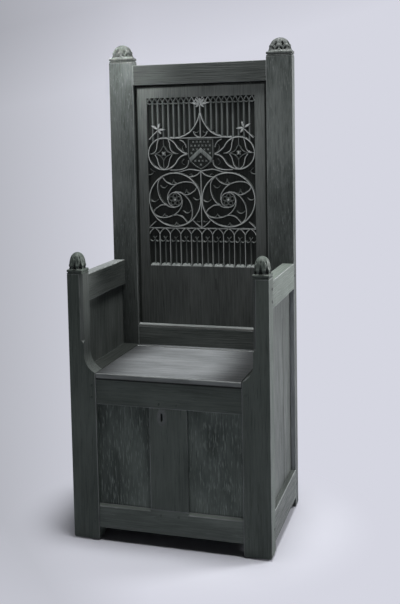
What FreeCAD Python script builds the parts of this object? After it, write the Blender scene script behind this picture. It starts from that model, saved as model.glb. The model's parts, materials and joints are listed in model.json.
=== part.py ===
import FreeCAD, Part
import math
import os

# High-backed oak box chair: a framed chest under a hinged seat lid, closed arms, and a tall
# back panel carved with flamboyant tracery. Millimetres, +Z up, +Y to the back, origin on the
# floor under the middle of the chair.

# Overall sizes
WIDTH = 640.0
DEPTH = 455.0
SEAT_HEIGHT = 542.0

# Posts
FRONT_POST_WIDTH = 86.0
FRONT_POST_DEPTH = 58.0
FRONT_POST_NECK = 50.0
FRONT_POST_TOP = 852.0
SHOULDER_RADIUS = 60.0
ARRIS_CHAMFER = 9.0
CHAMFER_STOP = 92.0
CHAMFER_TIP = 0.5
BACK_POST_WIDTH = 87.0
BACK_POST_DEPTH = 42.0
BACK_POST_TOP = 1528.0
FOOT_CHAMFER = 3.0

# Finials
FRONT_FINIAL_HEIGHT = 66.0
BACK_FINIAL_HEIGHT = 60.0
FINIAL_OVERHANG = 1.5
FINIAL_PLINTH = 8.0
FINIAL_NECK_IN = 3.0
FINIAL_NECK_RISE = 6.0
BUD_BELLY = 0.86
BUD_BELLY_LEVEL = 0.5
DOWEL_RADIUS = 9.0
DOWEL_LENGTH = 16.0

# Front frame
FRONT_SETBACK = 4.0
FRONT_RAIL_THICK = 34.0
FRONT_TOP_RAIL_HEIGHT = 83.0
BOTTOM_RAIL_LIFT = 43.0
BOTTOM_RAIL_HEIGHT = 77.0
MUNTIN_WIDTH = 122.0
FRONT_PANEL_RECESS = 10.0
SILL_CHAMFER = 8.0

# Arms and sides
ARM_TOP = 841.0
ARM_HEIGHT = 85.0
ARM_THICK = 40.0
SIDE_RAIL_LIFT = 37.0
SIDE_RAIL_HEIGHT = 98.0
SIDE_RAIL_THICK = 36.0
SIDE_PANEL_RECESS = 16.0
PANEL_THICK = 12.0

# Back frame
BACK_RAIL_THICK = 34.0
TOP_RAIL_DROP = 12.0
TOP_RAIL_HEIGHT = 68.0
MIDDLE_RAIL_RISE = 74.0
MIDDLE_RAIL_HEIGHT = 126.0
MIDDLE_SILL_CHAMFER = 10.0

# Carved back panel
CARVED_RECESS = 15.0
CARVED_THICK = 22.0
CARVED_TONGUE_SET = 3.0
CARVED_TONGUE_THICK = 8.0
CARVED_EDGE_GAP = 0.5
FIELD_DEPTH = 11.0
FIELD_SIDE_MARGIN = 43.0
FIELD_TOP_MARGIN = 45.0
PLAIN_HEIGHT = 205.0
RIB_WIDTH = 7.0
MULLION_WIDTH = 4.5
RIB_DROP = 1.0
RIB_BITE = 1.0
BAYS = 10
ROUNDEL_BAYS = 1.5
ROUNDEL_POINT = 28.0
ROUNDEL_POINT_SPREAD = 24.0
STAR_TRIM = 9.0
STAR_STEM = 0.8
STAR_BOSS = 9.0
OGEE_SPREAD_BAYS = 2.9
OGEE_RADIUS_BAYS = 3.07
CROCKET_IN = 27.0
CROCKET_RISE = 34.0
LEAF_RADIUS = 10.0
HUB_RADIUS = 25.0
HUB_BOSS_RADIUS = 14.0
WHIRL_PATH = ((-0.50, 0.84), (-0.65, 0.22), (-0.02, -0.28))
LINK_PATH = ((-0.50, 0.84), (-0.29, 0.68), (-0.04, 0.55))
ARCH_RISE = 19.0
ARCH_HAUNCH = 0.22
SHIELD_HALF = 46.0
SHIELD_HEIGHT = 110.0
SHIELD_WAIST_DROP = 50.0
SHIELD_BELLY = 34.0
SHIELD_BELLY_RISE = 22.0
SHIELD_LIFT = 2.0

# Seat, chest floor and hinge
LID_THICK = 17.0
LID_OVERHANG = 3.5
LID_SIDE_GAP = 1.0
LID_NOSE = 4.0
BACK_BOARD_WIDTH = 24.0
BACK_BOARD_TONGUE = 8.0
BACK_BOARD_TONGUE_THICK = 6.0
HINGE_GAP = 1.0
HINGE_PIN_RADIUS = 4.0
HINGE_PIN_IN_LID = 40.0
HINGE_PIN_IN_BOARD = 45.0
BEARER_WIDTH = 40.0
BEARER_HEIGHT = 42.0
BEARER_LEDGE = 12.0
FLOOR_LIFT = 70.0
FLOOR_THICK = 14.0
FLOOR_BOARDS = 4

# Joinery
TENON_LENGTH = 30.0
BACK_TENON_LENGTH = 22.0
TENON_THICK = 12.0
TENON_SHOULDER = 10.0
BEARER_TENON_SHOULDER = 6.0
MUNTIN_TENON_LENGTH = 25.0
MORTISE_GAP = 2.0
PANEL_TONGUE = 9.0
PANEL_GAP = 1.0
GROOVE_PLAY = 0.2
BOARD_GAP = 0.5
PEG_RADIUS = 4.5
PEG_SIDES = 8
PEG_PROUD = 1.0
PEG_PAST = 5.0
PEG_SET = 13.0
PEG_SPREAD = 19.0
FIT_CLEARANCE = 0.1
RUNNING_CLEARANCE = 0.05

# Chest lock
KEYHOLE_X = -20.0
KEYHOLE_DROP = 28.0
KEYHOLE_WIDTH = 6.5
KEYHOLE_HEIGHT = 26.0
ESCUTCHEON_WIDTH = 31.0
ESCUTCHEON_HEIGHT = 54.0
ESCUTCHEON_THICK = 2.0
LOCK_PLATE_THICK = 2.5
LOCK_CASE_WALL = 2.5
LOCK_CASE_DEPTH = 37.5
LOCK_CASE_LEFT = 70.0
LOCK_CASE_RIGHT = 20.0
LOCK_PLATE_LEFT = 72.0
LOCK_PLATE_RIGHT = 34.0
LOCK_PLATE_ABOVE = 30.0
LOCK_CASE_BELOW = 13.0
LOCK_CASE_ABOVE = 13.0
STAPLE_OFFSET = 32.0
STAPLE_THICK = 7.0
STAPLE_LEG = 5.0
STAPLE_WIDTH = 18.0
STAPLE_SWING = 12.5
STAPLE_SPIKE = 10.0
BOLT_ABOVE_KEY = 20.0
BOLT_HEIGHT = 12.0
BOLT_THICK = 6.0
BOLT_LENGTH = 60.0
BOLT_REST_GAP = 3.0
BOLT_PLAY = 0.3
STAPLE_EYE_PLAY = 3.0
TALON_OFFSET = 40.0
TALON_WIDTH = 6.0
TALON_DROP = 9.0
LUG_WIDTH = 6.0
LUG_OFFSETS = (48.0, 16.0)
LUG_WALL = 4.0
NAIL_HALF = 2.0
NAIL_LENGTH = 16.0
NAIL_HEAD_HALF = 4.5
NAIL_HEAD_RISE = 2.0
NAIL_EDGE = 7.0

# Planes and spans that the pieces share
HALF = WIDTH / 2
FRONT = -DEPTH / 2
BACK = DEPTH / 2
SEAT_X = HALF - FRONT_POST_WIDTH
NECK_X = HALF - FRONT_POST_NECK
BACK_X = HALF - BACK_POST_WIDTH
FRONT_POST_Y = (FRONT, FRONT + FRONT_POST_DEPTH)
BACK_POST_Y = (BACK - BACK_POST_DEPTH, BACK)
SIDE_Y = (FRONT_POST_Y[1], BACK_POST_Y[0])
FRONT_RAIL_Y = (FRONT + FRONT_SETBACK, FRONT + FRONT_SETBACK + FRONT_RAIL_THICK)
FRONT_PANEL_Y = (FRONT_RAIL_Y[0] + FRONT_PANEL_RECESS, FRONT_RAIL_Y[0] + FRONT_PANEL_RECESS + PANEL_THICK)
FRONT_TENON_Y = (FRONT_PANEL_Y[0], FRONT_PANEL_Y[0] + TENON_THICK)
LID_UNDER = SEAT_HEIGHT - LID_THICK
FRONT_TOP_Z = (LID_UNDER - FRONT_TOP_RAIL_HEIGHT, LID_UNDER)
BOTTOM_Z = (BOTTOM_RAIL_LIFT, BOTTOM_RAIL_LIFT + BOTTOM_RAIL_HEIGHT)
SIDE_RAIL_Z = (SIDE_RAIL_LIFT, SIDE_RAIL_LIFT + SIDE_RAIL_HEIGHT)
SIDE_RAIL_X = (HALF - SIDE_RAIL_THICK, HALF)
ARM_Z = (ARM_TOP - ARM_HEIGHT, ARM_TOP)
ARM_X = (HALF - ARM_THICK, HALF)
SIDE_PANEL_X = (HALF - SIDE_PANEL_RECESS - PANEL_THICK, HALF - SIDE_PANEL_RECESS)
SIDE_TENON_X = (SIDE_PANEL_X[0], SIDE_PANEL_X[0] + TENON_THICK)
BACK_RAIL_Y = (BACK_POST_Y[0], BACK_POST_Y[0] + BACK_RAIL_THICK)
BACK_TENON_Y = ((sum(BACK_RAIL_Y) - TENON_THICK) / 2, (sum(BACK_RAIL_Y) + TENON_THICK) / 2)
TOP_RAIL_Z = (BACK_POST_TOP - TOP_RAIL_DROP - TOP_RAIL_HEIGHT, BACK_POST_TOP - TOP_RAIL_DROP)
MIDDLE_RAIL_TOP = SEAT_HEIGHT + MIDDLE_RAIL_RISE
MIDDLE_RAIL_Z = (MIDDLE_RAIL_TOP - MIDDLE_RAIL_HEIGHT, MIDDLE_RAIL_TOP)
BEARER_X = (SEAT_X - BEARER_LEDGE, SEAT_X - BEARER_LEDGE + BEARER_WIDTH)
BEARER_Z = (LID_UNDER - BEARER_HEIGHT, LID_UNDER)
BACK_BOARD_Y = (SIDE_Y[1] - BACK_BOARD_WIDTH, SIDE_Y[1])
HINGE_Y = BACK_BOARD_Y[0] - HINGE_GAP - LID_THICK / 2
HINGE_Z = LID_UNDER + LID_THICK / 2
FLOOR_Z = (FLOOR_LIFT, FLOOR_LIFT + FLOOR_THICK)
AXES = {"x": FreeCAD.Vector(1, 0, 0), "y": FreeCAD.Vector(0, 1, 0), "z": FreeCAD.Vector(0, 0, 1)}


def block(x, y, z):
    """Box between three (low, high) spans."""
    corner = FreeCAD.Vector(x[0], y[0], z[0])
    return Part.makeBox(x[1] - x[0], y[1] - y[0], z[1] - z[0], corner)


def wider(span, margin):
    """Span grown by a margin at both ends."""
    return (span[0] - margin, span[1] + margin)


def mirrored(shape):
    """The same shape on the other side of the chair."""
    return shape.mirror(FreeCAD.Vector(0, 0, 0), AXES["x"])


def both_sides(shape):
    """A right-hand cutter with its left-hand twin."""
    return [shape, mirrored(shape)]


def cylinder(axis, start, length, radius):
    """Round bar from a point along an axis, backwards for a negative length."""
    direction = AXES[axis] * math.copysign(1.0, length)
    return Part.makeCylinder(radius, abs(length), FreeCAD.Vector(*start), direction)


def carve(shape, cutters):
    """Shape with every cutter taken out of it."""
    return shape.cut(cutters).removeSplitter()


def join(shape, additions):
    """One solid from a shape and what grows out of it."""
    return shape.fuse(additions).removeSplitter()


def tenon(axis, shoulder, length, cheeks, edges):
    """Tenon that leaves a shoulder along an axis, and the slightly deeper mortise that takes it."""
    shapes = []
    for reach in (length, length + math.copysign(MORTISE_GAP, length)):
        span = (min(shoulder, shoulder + reach), max(shoulder, shoulder + reach))
        spans = {"x": (span, cheeks, edges), "y": (cheeks, span, edges), "z": (edges, cheeks, span)}
        shapes.append(block(*spans[axis]))
    return shapes


def octagon_bar(axis, start, length, radius):
    """Eight-sided bar from a point along an axis, backwards for a negative length."""
    direction = AXES[axis] * math.copysign(1.0, length)
    side = AXES["z"]
    across = direction.cross(side)
    turns = [2 * math.pi * k / PEG_SIDES for k in range(PEG_SIDES)]
    ring = [start + (side * math.cos(a) + across * math.sin(a)) * radius for a in turns]
    return Part.Face(Part.makePolygon(ring + ring[:1])).extrude(direction * abs(length))


def peg(axis, start, length):
    """Split oak peg, a little proud of the face, and the hole that it has bedded itself into."""
    sign = math.copysign(1.0, length)
    face = FreeCAD.Vector(*start)
    proud = face - AXES[axis] * sign * PEG_PROUD
    body = octagon_bar(axis, proud, length + sign * PEG_PROUD, PEG_RADIUS)
    hole = octagon_bar(axis, face, length + sign * PANEL_GAP, PEG_RADIUS + FIT_CLEARANCE)
    return body, hole


def panel(x, y, z, thick_axis):
    """Thin board whose edges stand in grooves, and the cutter for those grooves."""
    margins = {"x": (GROOVE_PLAY, PANEL_GAP, PANEL_GAP), "y": (PANEL_GAP, GROOVE_PLAY, PANEL_GAP)}
    spans = [wider(span, margin) for span, margin in zip((x, y, z), margins[thick_axis])]
    return block(x, y, z), block(*spans)


def outline(points, y):
    """Closed straight-sided outline in the XZ plane."""
    corners = [FreeCAD.Vector(px, y, pz) for px, pz in points]
    return Part.Wire(Part.makePolygon(corners + corners[:1]))


# Panels, and the grooves that hold them

side_panel, side_groove = panel(
    SIDE_PANEL_X,
    wider(SIDE_Y, PANEL_TONGUE),
    (SIDE_RAIL_Z[1] - PANEL_TONGUE, ARM_Z[0] + PANEL_TONGUE),
    "x",
)
front_panel, front_groove = panel(
    (MUNTIN_WIDTH / 2 - PANEL_TONGUE, SEAT_X + PANEL_TONGUE),
    FRONT_PANEL_Y,
    (BOTTOM_Z[1] - PANEL_TONGUE, FRONT_TOP_Z[0] + PANEL_TONGUE),
    "y",
)
BACK_PANEL_Y = (sum(BACK_RAIL_Y) / 2 - PANEL_THICK / 2, sum(BACK_RAIL_Y) / 2 + PANEL_THICK / 2)
back_panel, back_groove = panel(
    (-BACK_X - PANEL_TONGUE, BACK_X + PANEL_TONGUE),
    BACK_PANEL_Y,
    (BOTTOM_Z[1] - PANEL_TONGUE, MIDDLE_RAIL_Z[0] + PANEL_TONGUE),
    "y",
)
CARVED_Y = (BACK_POST_Y[0] + CARVED_RECESS, BACK_POST_Y[0] + CARVED_RECESS + CARVED_THICK)
CARVED_TONGUE_Y = (CARVED_Y[0] + CARVED_TONGUE_SET, CARVED_Y[0] + CARVED_TONGUE_SET + CARVED_TONGUE_THICK)
carved_tongue, carved_groove = panel(
    (-BACK_X - PANEL_TONGUE, BACK_X + PANEL_TONGUE),
    CARVED_TONGUE_Y,
    (MIDDLE_RAIL_Z[1] - PANEL_TONGUE, TOP_RAIL_Z[0] + PANEL_TONGUE),
    "y",
)


# Mortise and tenon joints, drawn on the right-hand side and mirrored for the left

def rail_tenon(shoulder, z, cheeks, length):
    """Tenon along X at the right end of a rail between posts."""
    return tenon("x", shoulder, length, cheeks, wider(z, -TENON_SHOULDER))


SIDE_RAIL_TENON_Z = (SIDE_RAIL_Z[0] + TENON_SHOULDER, SIDE_RAIL_Z[1] - TENON_SHOULDER - PANEL_TONGUE)
ARM_TENON_Z = (ARM_Z[0] + TENON_SHOULDER + PANEL_TONGUE, ARM_Z[1] - TENON_SHOULDER)
MIDDLE_TENON_Z = (SEAT_HEIGHT, MIDDLE_RAIL_Z[1] - TENON_SHOULDER - MIDDLE_SILL_CHAMFER)
BEARER_TENON_X = (BEARER_X[1] - BEARER_TENON_SHOULDER - TENON_THICK, BEARER_X[1] - BEARER_TENON_SHOULDER)
BEARER_TENON_Z = wider(BEARER_Z, -BEARER_TENON_SHOULDER)

top_tenon, top_mortise = rail_tenon(BACK_X, TOP_RAIL_Z, BACK_TENON_Y, TENON_LENGTH)
middle_tenon, middle_mortise = tenon("x", BACK_X, TENON_LENGTH, BACK_TENON_Y, MIDDLE_TENON_Z)
back_low_tenon, back_low_mortise = rail_tenon(BACK_X, BOTTOM_Z, BACK_TENON_Y, TENON_LENGTH)
front_top_tenon, front_top_mortise = rail_tenon(SEAT_X, FRONT_TOP_Z, FRONT_TENON_Y, TENON_LENGTH)
front_low_tenon, front_low_mortise = rail_tenon(SEAT_X, BOTTOM_Z, FRONT_TENON_Y, TENON_LENGTH)
arm_front_tenon, arm_front_mortise = tenon("y", SIDE_Y[0], -TENON_LENGTH, SIDE_TENON_X, ARM_TENON_Z)
arm_back_tenon, arm_back_mortise = tenon("y", SIDE_Y[1], BACK_TENON_LENGTH, SIDE_TENON_X, ARM_TENON_Z)
side_front_tenon, side_front_mortise = tenon(
    "y", SIDE_Y[0], -TENON_LENGTH, SIDE_TENON_X, SIDE_RAIL_TENON_Z
)
side_back_tenon, side_back_mortise = tenon(
    "y", SIDE_Y[1], BACK_TENON_LENGTH, SIDE_TENON_X, SIDE_RAIL_TENON_Z
)
bearer_front_tenon, bearer_front_mortise = tenon(
    "y", SIDE_Y[0], -BACK_TENON_LENGTH, BEARER_TENON_X, BEARER_TENON_Z
)
bearer_back_tenon, bearer_back_mortise = tenon(
    "y", SIDE_Y[1], BACK_TENON_LENGTH, BEARER_TENON_X, BEARER_TENON_Z
)
MUNTIN_TENON_X = wider((-MUNTIN_WIDTH / 2, MUNTIN_WIDTH / 2), -TENON_SHOULDER - PANEL_TONGUE)
muntin_top_tenon, muntin_top_mortise = tenon(
    "z", FRONT_TOP_Z[0], MUNTIN_TENON_LENGTH, FRONT_TENON_Y, MUNTIN_TENON_X
)
muntin_low_tenon, muntin_low_mortise = tenon(
    "z", BOTTOM_Z[1], -MUNTIN_TENON_LENGTH, FRONT_TENON_Y, MUNTIN_TENON_X
)


# Drawbore pegs: two through each wide tenon, one through each narrow one

def peg_row(axis, face, depth, along, heights):
    """Pegs driven in from one face at several heights; returns their solids and holes."""
    starts = {"x": [(face, along, z) for z in heights], "y": [(along, face, z) for z in heights]}
    pairs = [peg(axis, start, depth) for start in starts[axis]]
    return [pair[0] for pair in pairs], [pair[1] for pair in pairs]


def pair_of_heights(z):
    """Two peg heights either side of the middle of a tenon."""
    middle = sum(z) / 2
    return (middle - PEG_SPREAD, middle + PEG_SPREAD)


FRONT_PEG_DEPTH = FRONT_TENON_Y[1] - FRONT + PEG_PAST
MUNTIN_PEG_DEPTH = FRONT_TENON_Y[1] - FRONT_RAIL_Y[0] + PEG_PAST
BACK_PEG_DEPTH = BACK_TENON_Y[0] - PEG_PAST - BACK
SIDE_PEG_DEPTH = SIDE_TENON_X[0] - PEG_PAST - HALF
front_top_pegs, front_top_holes = peg_row(
    "y", FRONT, FRONT_PEG_DEPTH, SEAT_X + PEG_SET, pair_of_heights(FRONT_TOP_Z)
)
front_low_pegs, front_low_holes = peg_row(
    "y", FRONT, FRONT_PEG_DEPTH, SEAT_X + PEG_SET, pair_of_heights(BOTTOM_Z)
)
muntin_pegs, muntin_holes = peg_row(
    "y", FRONT_RAIL_Y[0], MUNTIN_PEG_DEPTH, MUNTIN_TENON_X[1] - PEG_SET,
    (FRONT_TOP_Z[0] + PEG_SET, BOTTOM_Z[1] - PEG_SET - SILL_CHAMFER / 2),
)
top_pegs, top_holes = peg_row("y", BACK, BACK_PEG_DEPTH, BACK_X + PEG_SET, (sum(TOP_RAIL_Z) / 2,))
middle_pegs, middle_holes = peg_row(
    "y", BACK, BACK_PEG_DEPTH, BACK_X + PEG_SET, (sum(MIDDLE_TENON_Z) / 2,)
)
back_low_pegs, back_low_holes = peg_row(
    "y", BACK, BACK_PEG_DEPTH, BACK_X + PEG_SET, (sum(BOTTOM_Z) / 2,)
)
arm_front_pegs, arm_front_holes = peg_row(
    "x", HALF, SIDE_PEG_DEPTH, SIDE_Y[0] - PEG_SET, pair_of_heights(ARM_Z)
)
arm_back_pegs, arm_back_holes = peg_row("x", HALF, SIDE_PEG_DEPTH, SIDE_Y[1] + PEG_SET, (sum(ARM_Z) / 2,))
side_front_pegs, side_front_holes = peg_row(
    "x", HALF, SIDE_PEG_DEPTH, SIDE_Y[0] - PEG_SET, (sum(SIDE_RAIL_TENON_Z) / 2,)
)
side_back_pegs, side_back_holes = peg_row(
    "x", HALF, SIDE_PEG_DEPTH, SIDE_Y[1] + PEG_SET, (sum(SIDE_RAIL_TENON_Z) / 2,)
)
right_pegs = arm_front_pegs + arm_back_pegs + side_front_pegs + side_back_pegs
front_pegs = front_top_pegs + front_low_pegs + muntin_pegs
back_pegs = top_pegs + middle_pegs + back_low_pegs


# Front posts: wide below the seat, drawn in by a hollow shoulder to a slim neck with a stopped chamfer

def arris(size, z):
    """Triangle across the inner front corner of the neck."""
    corner = FreeCAD.Vector(NECK_X, FRONT, z)
    return Part.makePolygon([corner, corner + AXES["x"] * size, corner + AXES["y"] * size, corner])


def eased_foot(post):
    """Post with the corners of its foot eased at the floor."""
    rim = [edge for edge in post.Edges if max(abs(v.Z) for v in edge.Vertexes) < FIT_CLEARANCE]
    return post.makeChamfer(FOOT_CHAMFER, rim)


def front_post():
    """Right front post before its joints are cut."""
    draw_in = NECK_X - SEAT_X
    rise = math.sqrt(SHOULDER_RADIUS ** 2 - (SHOULDER_RADIUS - draw_in) ** 2)
    neck_start = SEAT_HEIGHT + rise
    hub_x = NECK_X - SHOULDER_RADIUS
    half_turn = math.atan2(rise, SEAT_X - hub_x) / 2

    def at(x, z):
        return FreeCAD.Vector(x, FRONT, z)

    middle = at(
        hub_x + SHOULDER_RADIUS * math.cos(half_turn),
        neck_start - SHOULDER_RADIUS * math.sin(half_turn),
    )
    edges = [
        Part.LineSegment(at(HALF, 0), at(HALF, FRONT_POST_TOP)),
        Part.LineSegment(at(HALF, FRONT_POST_TOP), at(NECK_X, FRONT_POST_TOP)),
        Part.LineSegment(at(NECK_X, FRONT_POST_TOP), at(NECK_X, neck_start)),
        Part.Arc(at(NECK_X, neck_start), middle, at(SEAT_X, SEAT_HEIGHT)),
        Part.LineSegment(at(SEAT_X, SEAT_HEIGHT), at(SEAT_X, 0)),
        Part.LineSegment(at(SEAT_X, 0), at(HALF, 0)),
    ]
    profile = Part.Wire([edge.toShape() for edge in edges])
    post = Part.Face(profile).extrude(AXES["y"] * FRONT_POST_DEPTH)
    stop = SEAT_HEIGHT + CHAMFER_STOP
    sections = [
        arris(CHAMFER_TIP, stop),
        arris(ARRIS_CHAMFER, stop + ARRIS_CHAMFER),
        arris(ARRIS_CHAMFER, FRONT_POST_TOP),
    ]
    return eased_foot(carve(post, [Part.makeLoft(sections, True, True)]))


# Finials: a carved bud on a moulded plinth, dowelled into the post

def rectangle(x, y, z):
    """Flat rectangle at one height."""
    corners = [(x[0], y[0]), (x[1], y[0]), (x[1], y[1]), (x[0], y[1])]
    points = [FreeCAD.Vector(px, py, z) for px, py in corners]
    return Part.makePolygon(points + points[:1])


def bud_outline(span, z, place):
    """Domed silhouette over a span, drawn with a function that places its points."""
    centre = sum(span) / 2
    half = (span[1] - span[0]) / 2
    level = z[0] + BUD_BELLY_LEVEL * (z[1] - z[0])
    left, right = place(span[0], z[0]), place(span[1], z[0])
    top = place(centre, z[1])
    edges = [
        Part.LineSegment(left, right),
        Part.Arc(right, place(centre + BUD_BELLY * half, level), top),
        Part.Arc(top, place(centre - BUD_BELLY * half, level), left),
    ]
    return Part.Face(Part.Wire([edge.toShape() for edge in edges]))


def finial(x, y, base, height):
    """Finial over a post end, and the dowel hole in the post."""
    plinth_top = base + FINIAL_PLINTH
    neck_top = plinth_top + FINIAL_NECK_RISE
    plinth = block(wider(x, FINIAL_OVERHANG), wider(y, FINIAL_OVERHANG), (base, plinth_top))
    bud_x, bud_y = wider(x, -FINIAL_NECK_IN), wider(y, -FINIAL_NECK_IN)
    neck = Part.makeLoft([rectangle(x, y, plinth_top), rectangle(bud_x, bud_y, neck_top)], True, True)
    bud_z = (neck_top, base + height)
    broad = bud_outline(bud_x, bud_z, lambda u, v: FreeCAD.Vector(u, bud_y[0], v))
    narrow = bud_outline(bud_y, bud_z, lambda u, v: FreeCAD.Vector(bud_x[0], u, v))
    bud = broad.extrude(AXES["y"] * (bud_y[1] - bud_y[0])).common(
        narrow.extrude(AXES["x"] * (bud_x[1] - bud_x[0]))
    )
    middle = (sum(x) / 2, sum(y) / 2, base)
    dowel = cylinder("z", middle, -DOWEL_LENGTH, DOWEL_RADIUS)
    hole = cylinder("z", middle, -DOWEL_LENGTH - MORTISE_GAP, DOWEL_RADIUS + FIT_CLEARANCE)
    return join(plinth, [neck, bud, dowel]), hole


front_finial, front_finial_hole = finial((NECK_X, HALF), FRONT_POST_Y, FRONT_POST_TOP, FRONT_FINIAL_HEIGHT)
back_finial, back_finial_hole = finial((BACK_X, HALF), BACK_POST_Y, BACK_POST_TOP, BACK_FINIAL_HEIGHT)

hinge_start = (SEAT_X - HINGE_PIN_IN_LID, HINGE_Y, HINGE_Z)
HINGE_PIN_LENGTH = HINGE_PIN_IN_LID + HINGE_PIN_IN_BOARD
hinge_pin = cylinder("x", hinge_start, HINGE_PIN_LENGTH, HINGE_PIN_RADIUS)
hinge_hole = cylinder(
    "x", (hinge_start[0] - HINGE_GAP, HINGE_Y, HINGE_Z), HINGE_PIN_LENGTH + 2 * HINGE_GAP,
    HINGE_PIN_RADIUS + RUNNING_CLEARANCE,
)

right_front_post = carve(
    front_post(),
    [front_top_mortise, front_low_mortise, arm_front_mortise, side_front_mortise, bearer_front_mortise]
    + [side_groove, front_groove, front_finial_hole]
    + front_top_holes + front_low_holes + arm_front_holes + side_front_holes,
)
right_back_post = carve(
    eased_foot(block((BACK_X, HALF), BACK_POST_Y, (0, BACK_POST_TOP))),
    [top_mortise, middle_mortise, back_low_mortise, arm_back_mortise, side_back_mortise]
    + [bearer_back_mortise, side_groove, back_groove, carved_groove, back_finial_hole]
    + top_holes + middle_holes + back_low_holes + arm_back_holes + side_back_holes,
)


# Arms and sides

right_arm = carve(
    join(block(ARM_X, SIDE_Y, ARM_Z), [arm_front_tenon, arm_back_tenon]),
    [side_groove] + arm_front_holes + arm_back_holes,
)
right_side_rail = carve(
    join(block(SIDE_RAIL_X, SIDE_Y, SIDE_RAIL_Z), [side_front_tenon, side_back_tenon]),
    [side_groove] + side_front_holes + side_back_holes,
)
right_bearer = join(block(BEARER_X, SIDE_Y, BEARER_Z), [bearer_front_tenon, bearer_back_tenon])
right_seat_board = carve(
    block((SEAT_X, SIDE_PANEL_X[0] - BOARD_GAP), SIDE_Y, (LID_UNDER, SEAT_HEIGHT)),
    [hinge_hole],
)


# Front frame

def sill_cut(x, z, y, size):
    """Slope taken off the upper front edge of a rail over one span."""
    corner = FreeCAD.Vector(x[0], y, z)
    slope = Part.makePolygon([corner, corner + AXES["y"] * size, corner - AXES["z"] * size, corner])
    return Part.Face(slope).extrude(AXES["x"] * (x[1] - x[0]))


def rail_between(half_width, y, z, right_tenon):
    """Rail between two posts with a tenon at each end."""
    return join(block((-half_width, half_width), y, z), both_sides(right_tenon))


KEYHOLE_Z = FRONT_TOP_Z[0] - KEYHOLE_DROP
floor_groove = block(
    (-SEAT_X, SEAT_X),
    wider((FRONT_RAIL_Y[1], BACK_RAIL_Y[0]), PANEL_TONGUE + PANEL_GAP),
    wider(FLOOR_Z, GROOVE_PLAY),
)
PANEL_SPAN_X = (MUNTIN_WIDTH / 2, SEAT_X)
front_sill = sill_cut(PANEL_SPAN_X, BOTTOM_Z[1], FRONT_RAIL_Y[0], SILL_CHAMFER)
front_top_rail = carve(
    rail_between(SEAT_X, FRONT_RAIL_Y, FRONT_TOP_Z, front_top_tenon),
    both_sides(front_groove) + [muntin_top_mortise]
    + [twin for hole in front_top_holes + muntin_holes for twin in both_sides(hole)],
)
front_bottom_rail = carve(
    rail_between(SEAT_X, FRONT_RAIL_Y, BOTTOM_Z, front_low_tenon),
    both_sides(front_groove) + both_sides(front_sill) + [muntin_low_mortise, floor_groove]
    + [twin for hole in front_low_holes + muntin_holes for twin in both_sides(hole)],
)


def keyhole(y):
    """Upright slot with round ends, cut through along Y."""
    radius = KEYHOLE_WIDTH / 2
    reach = (KEYHOLE_HEIGHT - KEYHOLE_WIDTH) / 2
    slot = block(
        (KEYHOLE_X - radius, KEYHOLE_X + radius), y, (KEYHOLE_Z - reach, KEYHOLE_Z + reach)
    )
    ends = [
        cylinder("y", (KEYHOLE_X, y[0], KEYHOLE_Z + side * reach), y[1] - y[0], radius)
        for side in (-1, 1)
    ]
    return join(slot, ends)


def oval(y, grow):
    """Upright oval plate around the keyhole."""
    centre = FreeCAD.Vector(KEYHOLE_X, y[0], KEYHOLE_Z)
    tall = FreeCAD.Vector(KEYHOLE_X, y[0], KEYHOLE_Z + ESCUTCHEON_HEIGHT / 2 + grow)
    wide = FreeCAD.Vector(KEYHOLE_X + ESCUTCHEON_WIDTH / 2 + grow, y[0], KEYHOLE_Z)
    rim = Part.Wire(Part.Ellipse(tall, wide, centre).toShape())
    return Part.Face(rim).extrude(AXES["y"] * (y[1] - y[0]))


ESCUTCHEON_Y = (FRONT_RAIL_Y[0], FRONT_RAIL_Y[0] + ESCUTCHEON_THICK)
LOCK_PLATE_Y = (FRONT_RAIL_Y[1], FRONT_RAIL_Y[1] + LOCK_PLATE_THICK)
key_way = keyhole(wider((FRONT_RAIL_Y[0], LOCK_PLATE_Y[1]), PANEL_GAP))
escutcheon = carve(oval(ESCUTCHEON_Y, 0.0), [key_way])
front_muntin = carve(
    join(
        block((-MUNTIN_WIDTH / 2, MUNTIN_WIDTH / 2), FRONT_RAIL_Y, (BOTTOM_Z[1], FRONT_TOP_Z[0])),
        [muntin_top_tenon, muntin_low_tenon],
    ),
    both_sides(front_groove) + [key_way, oval(ESCUTCHEON_Y, FIT_CLEARANCE)]
    + [twin for hole in muntin_holes for twin in both_sides(hole)],
)


# Chest lock behind the keyhole, and the staple under the lid that its bolt shoots through

LOCK_X = KEYHOLE_X + STAPLE_OFFSET
KEYHOLE_SPAN_Z = (KEYHOLE_Z - KEYHOLE_HEIGHT / 2, KEYHOLE_Z + KEYHOLE_HEIGHT / 2)
BOLT_Z = (KEYHOLE_SPAN_Z[1] + BOLT_ABOVE_KEY, KEYHOLE_SPAN_Z[1] + BOLT_ABOVE_KEY + BOLT_HEIGHT)
STAPLE_Y = (LOCK_PLATE_Y[1] + STAPLE_SWING, LOCK_PLATE_Y[1] + STAPLE_SWING + STAPLE_WIDTH)
STAPLE_X = (LOCK_X - STAPLE_THICK / 2, LOCK_X + STAPLE_THICK / 2)
STAPLE_EYE_Z = BOLT_Z[0] - STAPLE_EYE_PLAY
BOLT_Y = (sum(STAPLE_Y) / 2 - BOLT_THICK / 2, sum(STAPLE_Y) / 2 + BOLT_THICK / 2)
BOLT_TIP = STAPLE_X[0] - BOLT_REST_GAP
BOLT_X = (BOLT_TIP - BOLT_LENGTH, BOLT_TIP)
TALON_X = (LOCK_X - TALON_OFFSET, LOCK_X - TALON_OFFSET + TALON_WIDTH)
LOCK_CASE_X = (LOCK_X - LOCK_CASE_LEFT, LOCK_X + LOCK_CASE_RIGHT)
LOCK_CASE_Y = (LOCK_PLATE_Y[1], LOCK_PLATE_Y[1] + LOCK_CASE_DEPTH)
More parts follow.
